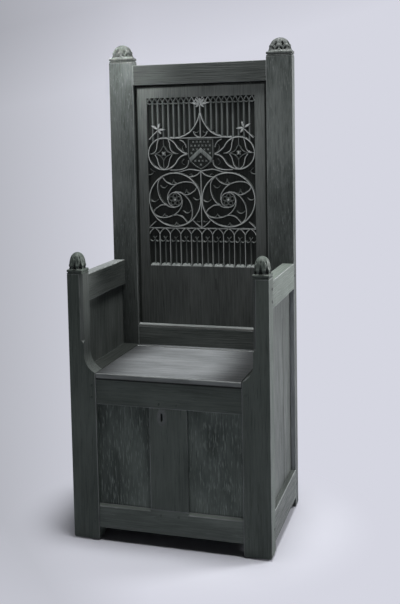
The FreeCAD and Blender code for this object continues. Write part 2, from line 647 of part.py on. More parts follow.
LOCK_CASE_Z = (KEYHOLE_SPAN_Z[0] - LOCK_CASE_BELOW, BOLT_Z[1] + LOCK_CASE_ABOVE)
LOCK_PLATE_X = (LOCK_X - LOCK_PLATE_LEFT, LOCK_X + LOCK_PLATE_RIGHT)
LOCK_PLATE_Z = (LOCK_CASE_Z[0] - LOCK_CASE_WALL, LOCK_CASE_Z[1] + LOCK_PLATE_ABOVE)

lock_bolt = join(
    block(BOLT_X, BOLT_Y, BOLT_Z),
    [block(TALON_X, BOLT_Y, (BOLT_Z[0] - TALON_DROP, BOLT_Z[0]))],
)


def guide_lug(offset):
    """Bracket on the lock plate that the bolt slides through."""
    start = LOCK_X - offset
    body = block(
        (start, start + LUG_WIDTH), (LOCK_PLATE_Y[1], BOLT_Y[1] + LUG_WALL), wider(BOLT_Z, LUG_WALL)
    )
    window = block(
        wider((start, start + LUG_WIDTH), LUG_WALL), wider(BOLT_Y, BOLT_PLAY), wider(BOLT_Z, BOLT_PLAY)
    )
    return carve(body, [window])


def nail(x, z):
    """Forged nail through the lock plate, square with a four-sided head, and the hole for it."""
    inner = LOCK_PLATE_Y[1] - NAIL_LENGTH
    shank = block(wider((x, x), NAIL_HALF), (inner, LOCK_PLATE_Y[1]), wider((z, z), NAIL_HALF))
    rims = []
    for half, y in ((NAIL_HEAD_HALF, LOCK_PLATE_Y[1]), (NAIL_HALF, LOCK_PLATE_Y[1] + NAIL_HEAD_RISE)):
        rims.append(outline([(x - half, z - half), (x + half, z - half), (x + half, z + half),
                             (x - half, z + half)], y))
    head = Part.makeLoft(rims, True, True)
    hole = block(
        wider((x, x), NAIL_HALF + FIT_CLEARANCE),
        (inner - PANEL_GAP, LOCK_PLATE_Y[1]),
        wider((z, z), NAIL_HALF + FIT_CLEARANCE),
    )
    return join(shank, [head]), hole


nail_spots = [
    (LOCK_PLATE_X[0] + NAIL_EDGE, LOCK_PLATE_Z[1] - NAIL_EDGE),
    (LOCK_PLATE_X[1] - NAIL_EDGE, LOCK_PLATE_Z[1] - NAIL_EDGE),
    (LOCK_PLATE_X[1] - NAIL_EDGE, LOCK_PLATE_Z[0] + NAIL_EDGE),
]
nails = [nail(x, z) for x, z in nail_spots]
nail_holes = [hole for body, hole in nails]
lock_plate = carve(
    join(
        block(LOCK_PLATE_X, LOCK_PLATE_Y, LOCK_PLATE_Z),
        [guide_lug(offset) for offset in LUG_OFFSETS],
    ),
    [key_way] + nail_holes,
)
staple_slot = block(
    wider(STAPLE_X, STAPLE_EYE_PLAY),
    (LOCK_CASE_Y[0], STAPLE_Y[1] + STAPLE_EYE_PLAY),
    (LOCK_CASE_Z[1] - LOCK_CASE_WALL, LOCK_CASE_Z[1]),
)
lock_case = carve(
    block(LOCK_CASE_X, LOCK_CASE_Y, LOCK_CASE_Z),
    [
        block(
            wider(LOCK_CASE_X, -LOCK_CASE_WALL),
            (LOCK_CASE_Y[0], LOCK_CASE_Y[1] - LOCK_CASE_WALL),
            wider(LOCK_CASE_Z, -LOCK_CASE_WALL),
        ),
        staple_slot,
    ],
)
staple_eye = block(
    wider(STAPLE_X, PANEL_GAP), wider(STAPLE_Y, -STAPLE_LEG), (STAPLE_EYE_Z, LID_UNDER + STAPLE_SPIKE)
)
lid_staple = carve(
    block(STAPLE_X, STAPLE_Y, (STAPLE_EYE_Z - STAPLE_LEG, LID_UNDER + STAPLE_SPIKE)), [staple_eye]
)
staple_mortises = [
    block(STAPLE_X, leg, (LID_UNDER, LID_UNDER + STAPLE_SPIKE + PANEL_GAP))
    for leg in ((STAPLE_Y[0], STAPLE_Y[0] + STAPLE_LEG), (STAPLE_Y[1] - STAPLE_LEG, STAPLE_Y[1]))
]
front_top_rail = carve(front_top_rail, nail_holes)
front_muntin = carve(front_muntin, nail_holes)


# Seat lid: one broad board with a rounded nose, turning on two iron pins at its round back edge

LID_X = SEAT_X - LID_SIDE_GAP
LID_FRONT = FRONT_RAIL_Y[0] - LID_OVERHANG


def lid_profile():
    """Side outline of the lid."""
    def at(y, z):
        return FreeCAD.Vector(-LID_X, y, z)

    diagonal = LID_NOSE * (1 - math.sqrt(0.5))
    edges = [
        Part.LineSegment(at(LID_FRONT, LID_UNDER), at(HINGE_Y, LID_UNDER)),
        Part.Arc(
            at(HINGE_Y, LID_UNDER), at(HINGE_Y + LID_THICK / 2, HINGE_Z), at(HINGE_Y, SEAT_HEIGHT)
        ),
        Part.LineSegment(at(HINGE_Y, SEAT_HEIGHT), at(LID_FRONT + LID_NOSE, SEAT_HEIGHT)),
        Part.Arc(
            at(LID_FRONT + LID_NOSE, SEAT_HEIGHT),
            at(LID_FRONT + diagonal, SEAT_HEIGHT - diagonal),
            at(LID_FRONT, SEAT_HEIGHT - LID_NOSE),
        ),
        Part.LineSegment(at(LID_FRONT, SEAT_HEIGHT - LID_NOSE), at(LID_FRONT, LID_UNDER)),
    ]
    return Part.Face(Part.Wire([edge.toShape() for edge in edges]))


seat_lid = carve(
    lid_profile().extrude(AXES["x"] * 2 * LID_X), both_sides(hinge_hole) + staple_mortises
)
BACK_BOARD_TONGUE_Z = (
    HINGE_Z - BACK_BOARD_TONGUE_THICK / 2, HINGE_Z + BACK_BOARD_TONGUE_THICK / 2
)
BACK_BOARD_TONGUE_X = (-SEAT_X + TENON_LENGTH, SEAT_X - TENON_LENGTH)
seat_back_board = join(
    block((-SEAT_X + BOARD_GAP, SEAT_X - BOARD_GAP), BACK_BOARD_Y, (LID_UNDER, SEAT_HEIGHT)),
    [block(BACK_BOARD_TONGUE_X, (SIDE_Y[1], SIDE_Y[1] + BACK_BOARD_TONGUE), BACK_BOARD_TONGUE_Z)],
)
back_board_groove = block(
    wider(BACK_BOARD_TONGUE_X, PANEL_GAP),
    (SIDE_Y[1], SIDE_Y[1] + BACK_BOARD_TONGUE + PANEL_GAP),
    wider(BACK_BOARD_TONGUE_Z, GROOVE_PLAY),
)


# Chest floor: boards from front to back in grooves, notched round the posts

def floor_boards():
    """Floor boards side by side."""
    edge = SIDE_RAIL_X[0] - BOARD_GAP
    pitch = 2 * edge / FLOOR_BOARDS
    reach = wider((FRONT_RAIL_Y[1], BACK_RAIL_Y[0]), PANEL_TONGUE)
    posts = [
        block(wider((SEAT_X, HALF), BOARD_GAP), wider(FRONT_POST_Y, BOARD_GAP), wider(FLOOR_Z, PANEL_GAP)),
        block(wider((BACK_X, HALF), BOARD_GAP), wider(BACK_POST_Y, BOARD_GAP), wider(FLOOR_Z, PANEL_GAP)),
    ]
    notches = [twin for post in posts for twin in both_sides(post)]
    boards = []
    for k in range(FLOOR_BOARDS):
        start = -edge + k * pitch
        board = block((start, start + pitch - BOARD_GAP), reach, FLOOR_Z)
        boards.append(carve(board, notches))
    return boards


# Back frame

middle_sill = sill_cut((-BACK_X, BACK_X), MIDDLE_RAIL_Z[1], BACK_RAIL_Y[0], MIDDLE_SILL_CHAMFER)
back_top_rail = carve(
    rail_between(BACK_X, BACK_RAIL_Y, TOP_RAIL_Z, top_tenon),
    [carved_groove] + [twin for hole in top_holes for twin in both_sides(hole)],
)
back_middle_rail = carve(
    rail_between(BACK_X, BACK_RAIL_Y, MIDDLE_RAIL_Z, middle_tenon),
    [carved_groove, back_groove, middle_sill, back_board_groove]
    + [twin for hole in middle_holes for twin in both_sides(hole)],
)
back_bottom_rail = carve(
    rail_between(BACK_X, BACK_RAIL_Y, BOTTOM_Z, back_low_tenon),
    [back_groove, floor_groove] + [twin for hole in back_low_holes for twin in both_sides(hole)],
)


# Carved back panel: ribs of tracery left standing in a sunk field

GROUND_Y = CARVED_Y[0] + FIELD_DEPTH
RIB_TOP_Y = CARVED_Y[0] + RIB_DROP
FIELD_X = BACK_X - FIELD_SIDE_MARGIN
FIELD_Z = (MIDDLE_RAIL_Z[1] + PLAIN_HEIGHT, TOP_RAIL_Z[0] - FIELD_TOP_MARGIN)
BAY = 2 * FIELD_X / BAYS
LIGHT = BAY / 2


def at(x, z):
    """Point on the sunk ground of the carving."""
    return FreeCAD.Vector(x, GROUND_Y, z)


def polygon(points):
    """Flat face with straight sides."""
    corners = [at(x, z) for x, z in points]
    return Part.Face(Part.makePolygon(corners + corners[:1]))


def strip(start, end, width):
    """Straight rib between two points."""
    length = math.hypot(end[0] - start[0], end[1] - start[1])
    across = ((start[1] - end[1]) / length * width / 2, (end[0] - start[0]) / length * width / 2)
    corners = [
        (start[0] + across[0], start[1] + across[1]),
        (end[0] + across[0], end[1] + across[1]),
        (end[0] - across[0], end[1] - across[1]),
        (start[0] - across[0], start[1] - across[1]),
    ]
    return polygon(corners)


def bow(centre, radius, begin, finish, width):
    """Curved rib on a circle, from one angle to another in degrees."""
    def on(r, angle):
        turn = math.radians(angle)
        return at(centre[0] + r * math.cos(turn), centre[1] + r * math.sin(turn))

    inner, outer = radius - width / 2, radius + width / 2
    middle = (begin + finish) / 2
    edges = [
        Part.Arc(on(outer, begin), on(outer, middle), on(outer, finish)),
        Part.LineSegment(on(outer, finish), on(inner, finish)),
        Part.Arc(on(inner, finish), on(inner, middle), on(inner, begin)),
        Part.LineSegment(on(inner, begin), on(outer, begin)),
    ]
    return Part.Face(Part.Wire([edge.toShape() for edge in edges]))


def disc(centre, radius):
    """Round flat face."""
    return Part.Face(Part.Wire(Part.Circle(at(*centre), AXES["y"], radius).toShape()))


def ring(centre, radius, width):
    """Whole circle of rib."""
    return disc(centre, radius + width / 2).cut(disc(centre, radius - width / 2))


def circle_through(a, b, c):
    """Centre of the circle through three points."""
    twice = 2 * (a[0] * (b[1] - c[1]) + b[0] * (c[1] - a[1]) + c[0] * (a[1] - b[1]))
    squares = [p[0] ** 2 + p[1] ** 2 for p in (a, b, c)]
    x = squares[0] * (b[1] - c[1]) + squares[1] * (c[1] - a[1]) + squares[2] * (a[1] - b[1])
    z = squares[0] * (c[0] - b[0]) + squares[1] * (a[0] - c[0]) + squares[2] * (b[0] - a[0])
    return x / twice, z / twice


def bow_through(start, middle, end, width):
    """Curved rib through three points."""
    centre = circle_through(start, middle, end)

    def angle(point):
        return math.degrees(math.atan2(point[1] - centre[1], point[0] - centre[0]))

    begin = angle(start)
    to_middle = (angle(middle) - begin) % 360
    to_end = (angle(end) - begin) % 360
    sweep = to_end if to_middle < to_end else to_end - 360
    radius = math.hypot(start[0] - centre[0], start[1] - centre[1])
    return bow(centre, radius, begin, begin + sweep, width)


def quarter_turned(point, quarters):
    """Point turned about the middle of a wheel by quarter turns."""
    x, z = point
    for _ in range(quarters):
        x, z = -z, x
    return x, z


# Storeys of the tracery, from the sill upwards
WHEEL_RADIUS = FIELD_X / 2 - RIB_WIDTH / 2 + RIB_BITE
WHEEL_STOREY = FIELD_X + RIB_WIDTH
ROUNDEL_RADIUS = ROUNDEL_BAYS * BAY - RIB_WIDTH / 2 + RIB_BITE
ROUNDEL_STOREY = 2 * ROUNDEL_BAYS * BAY + RIB_WIDTH
ARCADE_HEIGHT = (FIELD_Z[1] - FIELD_Z[0] - WHEEL_STOREY - ROUNDEL_STOREY) / 2
BAR_Z = FIELD_Z[0] + ARCADE_HEIGHT
WHEEL_Z = BAR_Z + WHEEL_STOREY / 2
ROUNDEL_Z = BAR_Z + WHEEL_STOREY + ROUNDEL_STOREY / 2
ROUNDEL_X = FIELD_X - ROUNDEL_BAYS * BAY
OGEE_BAR_Z = ROUNDEL_Z + ROUNDEL_STOREY / 2 - RIB_WIDTH
OGEE_X = OGEE_SPREAD_BAYS * BAY
OGEE_RADIUS = OGEE_RADIUS_BAYS * BAY
OGEE_Z = OGEE_BAR_Z + OGEE_RADIUS
HEAD_Z = FIELD_Z[1] - LIGHT
SHIELD_TIP_Z = OGEE_BAR_Z - SHIELD_HEIGHT


def wheel(centre):
    """Whirling wheel: rim, hub and four flying curves, each with a short link to the next."""
    def spot(share, quarters):
        x, z = quarter_turned(share, quarters)
        return centre[0] + x * WHEEL_RADIUS, centre[1] + z * WHEEL_RADIUS

    ribs = [ring(centre, WHEEL_RADIUS, RIB_WIDTH), ring(centre, HUB_RADIUS, MULLION_WIDTH)]
    ribs.append(disc(centre, HUB_BOSS_RADIUS))
    for quarters in range(4):
        for path in (WHIRL_PATH, LINK_PATH):
            ribs.append(bow_through(*[spot(share, quarters) for share in path], MULLION_WIDTH))
    return ribs


def roundel(side):
    """Upper roundel with a hollow-sided star, a centre boss and a point towards the shield."""
    centre = (side * ROUNDEL_X, ROUNDEL_Z)
    reach = ROUNDEL_RADIUS
    ribs = [ring(centre, reach, RIB_WIDTH)]
    for turn in range(4):
        diagonal = math.radians(45 + 90 * turn)
        corner = (
            centre[0] + math.sqrt(2) * reach * math.cos(diagonal),
            centre[1] + math.sqrt(2) * reach * math.sin(diagonal),
        )
        begin = 180 + 90 * turn
        ribs.append(bow(corner, reach, begin + STAR_TRIM, begin + 90 - STAR_TRIM, MULLION_WIDTH))
        axis = quarter_turned((1.0, 0.0), turn)
        tip = (centre[0] + axis[0] * reach, centre[1] + axis[1] * reach)
        root = (centre[0] + axis[0] * reach * STAR_STEM, centre[1] + axis[1] * reach * STAR_STEM)
        ribs.append(strip(tip, root, MULLION_WIDTH))
    boss = [quarter_turned((STAR_BOSS, 0.0), turn) for turn in range(4)]
    ribs.append(polygon([(centre[0] + x, centre[1] + z) for x, z in boss]))
    point = (centre[0] - side * (reach + ROUNDEL_POINT), centre[1])
    spread = math.radians(ROUNDEL_POINT_SPREAD)
    for rise in (-1, 1):
        foot = (centre[0] - side * reach * math.cos(spread), centre[1] + rise * reach * math.sin(spread))
        ribs.append(strip(foot, point, MULLION_WIDTH))
    return ribs


def head_storey():
    """Row of slender lights over the ogee, with pointed heads, a fleuron and two leaf crockets."""
    ribs = [strip((-OGEE_X, OGEE_BAR_Z), (OGEE_X, OGEE_BAR_Z), RIB_WIDTH)]
    lean = math.degrees(math.acos(OGEE_X / OGEE_RADIUS))
    for side in (-1, 1):
        begin = 270 - side * (90 - lean)
        ribs.append(bow((side * OGEE_X, OGEE_Z), OGEE_RADIUS, begin, 270, RIB_WIDTH))
        leaf = (side * (FIELD_X - CROCKET_IN), OGEE_BAR_Z + CROCKET_RISE)
        ribs.append(strip((side * FIELD_X, OGEE_BAR_Z), leaf, MULLION_WIDTH))
        ribs.append(disc(leaf, LEAF_RADIUS))
    for k in range(2 * BAYS):
        left = -FIELD_X + k * LIGHT
        peak = (left + LIGHT / 2, FIELD_Z[1])
        ribs.append(strip((left, HEAD_Z), peak, MULLION_WIDTH))
        ribs.append(strip((left + LIGHT, HEAD_Z), peak, MULLION_WIDTH))
    for k in range(1, 2 * BAYS):
        x = -FIELD_X + k * LIGHT
        ribs.append(strip((x, HEAD_Z), (x, head_floor(x)), MULLION_WIDTH))
    ribs.append(disc((0.0, HEAD_Z), LEAF_RADIUS))
    return ribs


def head_floor(x):
    """Height of the ogee or roundel under a mullion of the head storey."""
    across = abs(x)
    if across < OGEE_X:
        return OGEE_Z - math.sqrt(OGEE_RADIUS ** 2 - (OGEE_X - across) ** 2)
    return ROUNDEL_Z + math.sqrt(max(ROUNDEL_RADIUS ** 2 - (across - ROUNDEL_X) ** 2, 0.0))


def arcade():
    """Lower row of pointed bays, each with a centre mullion."""
    spring = BAR_Z - ARCH_RISE
    ribs = [strip((-FIELD_X - RIB_BITE, BAR_Z), (FIELD_X + RIB_BITE, BAR_Z), RIB_WIDTH)]
    for k in range(BAYS):
        left = -FIELD_X + k * BAY
        crown = (left + LIGHT, BAR_Z)
        for foot, side in ((left, 1), (left + BAY, -1)):
            haunch = (foot + side * ARCH_HAUNCH * LIGHT, spring + ARCH_RISE * (1 - ARCH_HAUNCH))
            ribs.append(bow_through((foot, spring), haunch, crown, MULLION_WIDTH))
        ribs.append(strip((left + LIGHT, FIELD_Z[0]), (left + LIGHT, spring), MULLION_WIDTH))
        ribs.append(strip((left, FIELD_Z[0]), (left, spring), MULLION_WIDTH))
    return ribs


def shield():
    """Plain heater shield under the ogee."""
    waist = OGEE_BAR_Z - SHIELD_WAIST_DROP
    belly = SHIELD_TIP_Z + SHIELD_BELLY_RISE
    corners = [(-SHIELD_HALF, OGEE_BAR_Z), (SHIELD_HALF, OGEE_BAR_Z), (SHIELD_HALF, waist)]
    bellies = [(SHIELD_BELLY, belly), (-SHIELD_BELLY, belly)]
    edges = [
        Part.LineSegment(at(*corners[0]), at(*corners[1])),
        Part.LineSegment(at(*corners[1]), at(*corners[2])),
        Part.Arc(at(*corners[2]), at(*bellies[0]), at(0, SHIELD_TIP_Z)),
        Part.Arc(at(0, SHIELD_TIP_Z), at(*bellies[1]), at(-SHIELD_HALF, waist)),
        Part.LineSegment(at(-SHIELD_HALF, waist), at(*corners[0])),
    ]
    return Part.Face(Part.Wire([edge.toShape() for edge in edges]))


def shield_stem():
    """Centre mullion under the shield, with a curve from its tip to each wheel."""
    ribs = [strip((0, BAR_Z), (0, SHIELD_TIP_Z), MULLION_WIDTH)]
    wheel_top = WHEEL_Z + WHEEL_RADIUS
    for side in (-1, 1):
        dip = (side * BAY, (SHIELD_TIP_Z + wheel_top) / 2 - RIB_WIDTH)
        ribs.append(bow_through((0, SHIELD_TIP_Z), dip, (side * FIELD_X / 2, wheel_top), MULLION_WIDTH))
    return ribs


def carved_panel():
    """Back panel with its sunk field: each light is a pocket that leaves the ribs standing."""
    body = block(
        wider((-BACK_X, BACK_X), -CARVED_EDGE_GAP),
        CARVED_Y,
        wider((MIDDLE_RAIL_Z[1], TOP_RAIL_Z[0]), -CARVED_EDGE_GAP),
    )
    low, high = FIELD_Z
    field = polygon([(-FIELD_X, low), (FIELD_X, low), (FIELD_X, high), (-FIELD_X, high)])
    ribs = [rib for side in (-1, 1) for rib in roundel(side) + wheel((side * FIELD_X / 2, WHEEL_Z))]
    ribs += head_storey() + arcade() + shield_stem()
    ribs.append(shield())
    lights = field.cut(ribs)
    pockets = [light.extrude(AXES["y"] * (RIB_TOP_Y - GROUND_Y)) for light in lights.Faces]
    recess = field.extrude(AXES["y"] * (CARVED_Y[0] - GROUND_Y))
    skim = recess.common(block((-BACK_X, BACK_X), (CARVED_Y[0], RIB_TOP_Y), (0, BACK_POST_TOP)))
    board = carve(join(body, [carved_tongue]), [skim] + pockets)
    boss = shield().extrude(AXES["y"] * (RIB_TOP_Y - SHIELD_LIFT - GROUND_Y))
    return join(board, [boss])


# Every piece under its own name

pieces = {
    "back_top_rail": back_top_rail,
    "back_middle_rail": back_middle_rail,
    "back_bottom_rail": back_bottom_rail,
    "carved_back_panel": carved_panel(),
    "chest_back_panel": back_panel,
    "front_top_rail": front_top_rail,
    "front_bottom_rail": front_bottom_rail,
    "front_muntin": front_muntin,
    "keyhole_escutcheon": escutcheon,
    "seat_lid": seat_lid,
    "seat_back_board": seat_back_board,
    "lid_staple": lid_staple,
    "lock_plate": lock_plate,
    "lock_case": lock_case,
    "lock_bolt": lock_bolt,
    "lock_nails": Part.makeCompound([body for body, hole in nails]),
    "front_frame_pegs": Part.makeCompound([twin for body in front_pegs for twin in both_sides(body)]),
    "back_frame_pegs": Part.makeCompound([twin for body in back_pegs for twin in both_sides(body)]),
}
handed = {
    "front_post": right_front_post,
    "back_post": right_back_post,
    "front_finial": front_finial,
    "back_finial": back_finial,
    "arm_rail": right_arm,
    "side_panel": side_panel,
    "side_bottom_rail": right_side_rail,
    "seat_bearer": right_bearer,
    "seat_side_board": right_seat_board,
    "front_panel": front_panel,
    "hinge_pin": hinge_pin,
    "side_pegs": Part.makeCompound(right_pegs),
}
for name, shape in handed.items():
    pieces[name + "_right"] = shape
    pieces[name + "_left"] = mirrored(shape)
for number, board in enumerate(floor_boards(), start=1):
    pieces[f"floor_board_{number}"] = board

os.makedirs("parts", exist_ok=True)
for name, shape in pieces.items():
    shape.exportStep(os.path.join("parts", name + ".step"))
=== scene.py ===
"""Looks of a late Gothic oak box chair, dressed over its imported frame.

Sizes of the chair are in millimetres, and turned to metres where a mesh is made. The studio is in metres.
"""
import json
import logging
import math
from collections.abc import Callable, Iterator
from contextlib import contextmanager
from dataclasses import dataclass, field
from enum import Enum, IntEnum

import bmesh
import bpy
from mathutils import Matrix, Vector


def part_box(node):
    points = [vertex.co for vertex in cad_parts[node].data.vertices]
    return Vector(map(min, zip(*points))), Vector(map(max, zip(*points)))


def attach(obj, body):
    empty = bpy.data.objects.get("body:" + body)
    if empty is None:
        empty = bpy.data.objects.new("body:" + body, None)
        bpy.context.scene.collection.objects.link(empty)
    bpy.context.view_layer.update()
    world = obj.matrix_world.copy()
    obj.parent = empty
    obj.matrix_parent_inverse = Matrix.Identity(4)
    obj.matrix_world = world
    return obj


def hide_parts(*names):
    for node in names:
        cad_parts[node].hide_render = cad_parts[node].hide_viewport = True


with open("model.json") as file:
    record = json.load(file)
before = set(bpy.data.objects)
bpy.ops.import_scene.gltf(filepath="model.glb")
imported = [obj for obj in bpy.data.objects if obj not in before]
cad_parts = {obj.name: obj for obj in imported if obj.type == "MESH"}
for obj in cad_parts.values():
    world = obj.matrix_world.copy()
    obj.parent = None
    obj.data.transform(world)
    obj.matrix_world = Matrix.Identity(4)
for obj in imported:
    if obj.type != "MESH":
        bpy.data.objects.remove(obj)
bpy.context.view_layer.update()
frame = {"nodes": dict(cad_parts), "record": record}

LOG = logging.getLogger("chair")
MM = 0.001
SEED_NAME = "timber_seed"
SEED_STEP = 7.31
LID = "seat_lid"
LID_PLAY = 0.6
FOOT_WEAR = 11.0
SIDES = ("left", "right")
LOBE_STEPS = 12
BLADE_STEPS = 8
HOOK_STEPS = 6
ARCH_STEPS = 8
RGBA = {"data_type": "RGBA"}
SMOOTH = {"interpolation_type": "SMOOTHSTEP"}

Point = tuple[float, float]
Path = list[Point]
Triple = tuple[float, float, float]
Colour = tuple[float, float, float, float]
Outputs = bpy.types.bpy_prop_collection
Piece = bpy.types.Object
Tree = bpy.types.NodeTree
Socket = bpy.types.NodeSocket


class Axis(IntEnum):
    """Axes of the chair, for fibres and cuts."""

    ACROSS = 0
    DEEP = 1
    UPRIGHT = 2


class Slot(Enum):
    """Finishes in the record that the oak pieces have."""

    DARK_OAK = "dark_oak"
    WORN_OAK = "worn_oak"
    RAW_OAK = "raw_oak"


class Element(Enum):
    """Kinds of elements of a mesh, under the names of the select modes."""

    VERT = "verts"
    EDGE = "edges"
    FACE = "faces"


class Surface(IntEnum):
    """Surfaces of the carved panel, in the order of their finishes."""

    BOARD = 0
    GROUND = 1
    RIB = 2
    RIB_TOP = 3
    LEDGE = 4
    FLANK = 5


def linear(code: str) -> Colour:
    """Turn an sRGB hex colour, #rrggbb, into linear light with full alpha."""
    shares = [int(code[start:start + 2], 16) / 255 for start in (1, 3, 5)]
    return (*[c / 12.92 if c <= 0.04045 else ((c + 0.055) / 1.055) ** 2.4 for c in shares], 1.0)


def add_node(tree: Tree, kind: str, inputs: dict | tuple = (), **settings: str) -> Outputs:
    """Add a shader node with its settings, and set or link its inputs.

    Args:
        tree: Node tree of the material or world.
        kind: Type name of the node, without ShaderNode.
        inputs: Numbers, colours or sockets for its inputs, in order, or by name or place.
        settings: Values of the node's own properties.

    Returns:
        Outputs of the new node.
    """
    node = tree.nodes.new(f"ShaderNode{kind}")
    for name, value in settings.items():
        setattr(node, name, value)
    for name, value in inputs.items() if isinstance(inputs, dict) else enumerate(inputs):
        if isinstance(value, Socket):
            tree.links.new(value, node.inputs[name])
        else:
            node.inputs[name].default_value = value
    return node.outputs


def new_material(name: str) -> bpy.types.Material:
    """Make a node material that holds nothing yet.

    Args:
        name: Name of the material.

    Returns:
        The material.
    """
    material = bpy.data.materials.new(name)
    material.use_nodes = True
    material.node_tree.nodes.clear()
    return material


@dataclass(frozen=True)
class OakFinish:
    """Old oak: quarter-sawn, planed by hand, stained dark and waxed for centuries.

    The eye gets a near-black cool grey with fine streaks along the fibres, short pale rays, open dark
    pores and a dull wax sheen. Pores are drawn a few millimetres wide, because at their real 0.3 mm they
    would not show from the camera. A finish can be darkened below a height as painted shade, and a seat
    darkened away from an oval about its middle as painted shade.
    """

    name: str
    pores: str
    dark: str
    mid: str
    light: str
    streak: float = 5.0
    streak_length: float = 110.0
    streak_level: Point = (0.34, 0.68)
    patch: float = 90.0
    patch_stretch: float = 3.0
    patch_level: Point = (0.35, 0.7)
    patch_share: float = 0.55
    pore: float = 2.6
    pore_length: float = 60.0
    pore_level: Point = (0.56, 0.7)
    pore_share: float = 0.6
    ray: float = 4.0
    ray_length: float = 26.0
    ray_share: float = 0.35
    ray_level: Point = (0.62, 0.76)
    detail: float = 3.0
    roughness: Point = (0.62, 0.44)
    index: float = 1.48
    gloss: float = 0.2
    relief: float = 0.5
    bump: float = 0.6
    # Heights in mm over which the colour is darkened towards the bottom, as painted shade.
    shaded_below: Point | None = None
    shaded_below_share: Point = (0.5, 1.0)
    # Middle and half sizes in mm of an oval outside which the colour is darkened, as painted shade.
    worn: tuple[float, float, float, float] | None = None
    shade_oval_height: float = 1000.0
    shade_oval_span: Point = (0.45, 1.15)
    shade_oval_share: Point = (1.0, 0.16)

    def fibres(self, tree: Tree, grain: Axis, width: float, length: float, level: Point) -> Socket:
        """Make noise drawn out along the fibres, as a mask.

        Args:
            tree: Node tree of the material.
            grain: Axis of the fibres.
            width: Size across the fibres in mm.
            length: Size along them in mm.
            level: Noise that gives 0 and 1.

        Returns:
            Mask from 0 to 1.
        """
        stretch = [1.0, 1.0, 1.0]
        stretch[grain] = width / length
        place = add_node(tree, "TexCoord")["Object"]
        drawn = add_node(tree, "Mapping", {"Vector": place, "Scale": stretch})[0]
        seed = add_node(tree, "Attribute", attribute_name=SEED_NAME)["Fac"]
        noise = add_node(tree, "TexNoise", {
            "Vector": drawn, "W": seed, "Scale": 1 / (width * MM), "Detail": self.detail,
        }, noise_dimensions="4D")[0]
        return add_node(tree, "MapRange", (noise, *level), **SMOOTH)[0]

    def shade(self, tree: Tree, colour: Socket, value: Socket, span: Point, share: Point) -> Socket:
        """Darken a colour over part of a piece.

        Args:
            tree: Node tree of the material.
            colour: Colour to darken.
            value: Height or distance at each place.
            span: Values where the change starts and ends.
            share: Share of the colour that is left at each end.

        Returns:
            The darkened colour.
        """
        left = add_node(tree, "MapRange", (value, *span, *share), **SMOOTH)[0]
        return add_node(tree, "Mix", {0: 1.0, 6: colour, 7: left}, blend_type="MULTIPLY", **RGBA)[2]

    def material(self, grain: Axis) -> bpy.types.Material:
        """Give the finish with its fibres along one axis.

        Args:
            grain: Axis of the fibres.

        Returns:
            The material, made once for each axis.
        """
        name = f"{self.name}_{grain.name.lower()}"
        if name in bpy.data.materials:
            return bpy.data.materials[name]
        material = new_material(name)
        tree = material.node_tree
        streaks = self.fibres(tree, grain, self.streak, self.streak_length, self.streak_level)
        patches = self.fibres(tree, grain, self.patch, self.patch_stretch * self.patch, self.patch_level)
        pores = self.fibres(tree, grain, self.pore, self.pore_length, self.pore_level)
        rays = self.fibres(tree, grain, self.ray, self.ray_length, self.ray_level)
        colour = linear(self.dark)
        layers = ((streaks, 1.0, self.mid), (patches, self.patch_share, self.light),
                  (rays, self.ray_share, self.light), (pores, self.pore_share, self.pores))
        for mask, strength, tone in layers:
            share = add_node(tree, "Math", (mask, strength), operation="MULTIPLY")[0]
            colour = add_node(tree, "Mix", {0: share, 6: colour, 7: linear(tone)}, **RGBA)[2]
        place = add_node(tree, "TexCoord")["Object"]
        # Painted shade: darker towards the bottom.
        if self.shaded_below:
            height = add_node(tree, "SeparateXYZ", (place,))["Z"]
            low, high = self.shaded_below
            colour = self.shade(tree, colour, height, (low * MM, high * MM), self.shaded_below_share)
        # Painted shade: darker away from an oval about the seat's middle.
        if self.worn:
            x, y, wide, deep = (size * MM for size in self.worn)
            oval = add_node(tree, "Mapping", {
                "Vector": place, "Location": (x, y, 0.0), "Scale": (wide, deep, self.shade_oval_height),
            }, vector_type="TEXTURE")[0]
            away = add_node(tree, "VectorMath", (oval,), operation="LENGTH")["Value"]
            colour = self.shade(tree, colour, away, self.shade_oval_span, self.shade_oval_share)
        rough = add_node(tree, "MapRange", (streaks, 0.0, 1.0, *self.roughness))[0]
        height = add_node(tree, "Math", (streaks, pores), operation="SUBTRACT")[0]
        bump = add_node(tree, "Bump", {
            "Height": height, "Distance": self.relief * MM, "Strength": self.bump,
        })[0]
        shader = add_node(tree, "BsdfPrincipled", {
            "Base Color": colour, "Roughness": rough, "Normal": bump, "IOR": self.index,
            "Specular IOR Level": self.gloss,
        })[0]
        add_node(tree, "OutputMaterial", (shader,))
        return material


@dataclass(frozen=True)
class IronFinish:
    """Wrought iron, hammered and blacked: dull grey with pitted rust-dark patches."""

    name: str = "forged_iron"
    bright: str = "#5a5a5c"
    dull: str = "#2c2b2b"
    pit: float = 6.0
    detail: float = 4.0
    roughness: Point = (0.7, 0.42)
    relief: float = 0.4
    metal: float = 0.85

    def material(self) -> bpy.types.Material:
        """Give the finish.

        Returns:
            The material, made once.
        """
        if self.name in bpy.data.materials:
            return bpy.data.materials[self.name]
        material = new_material(self.name)
        tree = material.node_tree
        place = add_node(tree, "TexCoord")["Object"]
        noise = add_node(tree, "TexNoise", {
            "Vector": place, "Scale": 1 / (self.pit * MM), "Detail": self.detail,
        })[0]
        colour = add_node(tree, "Mix", {0: noise, 6: linear(self.dull), 7: linear(self.bright)}, **RGBA)[2]
        rough = add_node(tree, "MapRange", (noise, 0.0, 1.0, *self.roughness))[0]
        bump = add_node(tree, "Bump", {"Height": noise, "Distance": self.relief * MM})[0]
        shader = add_node(tree, "BsdfPrincipled", {
            "Base Color": colour, "Roughness": rough, "Normal": bump, "Metallic": self.metal,
        })[0]
        add_node(tree, "OutputMaterial", (shader,))
        return material


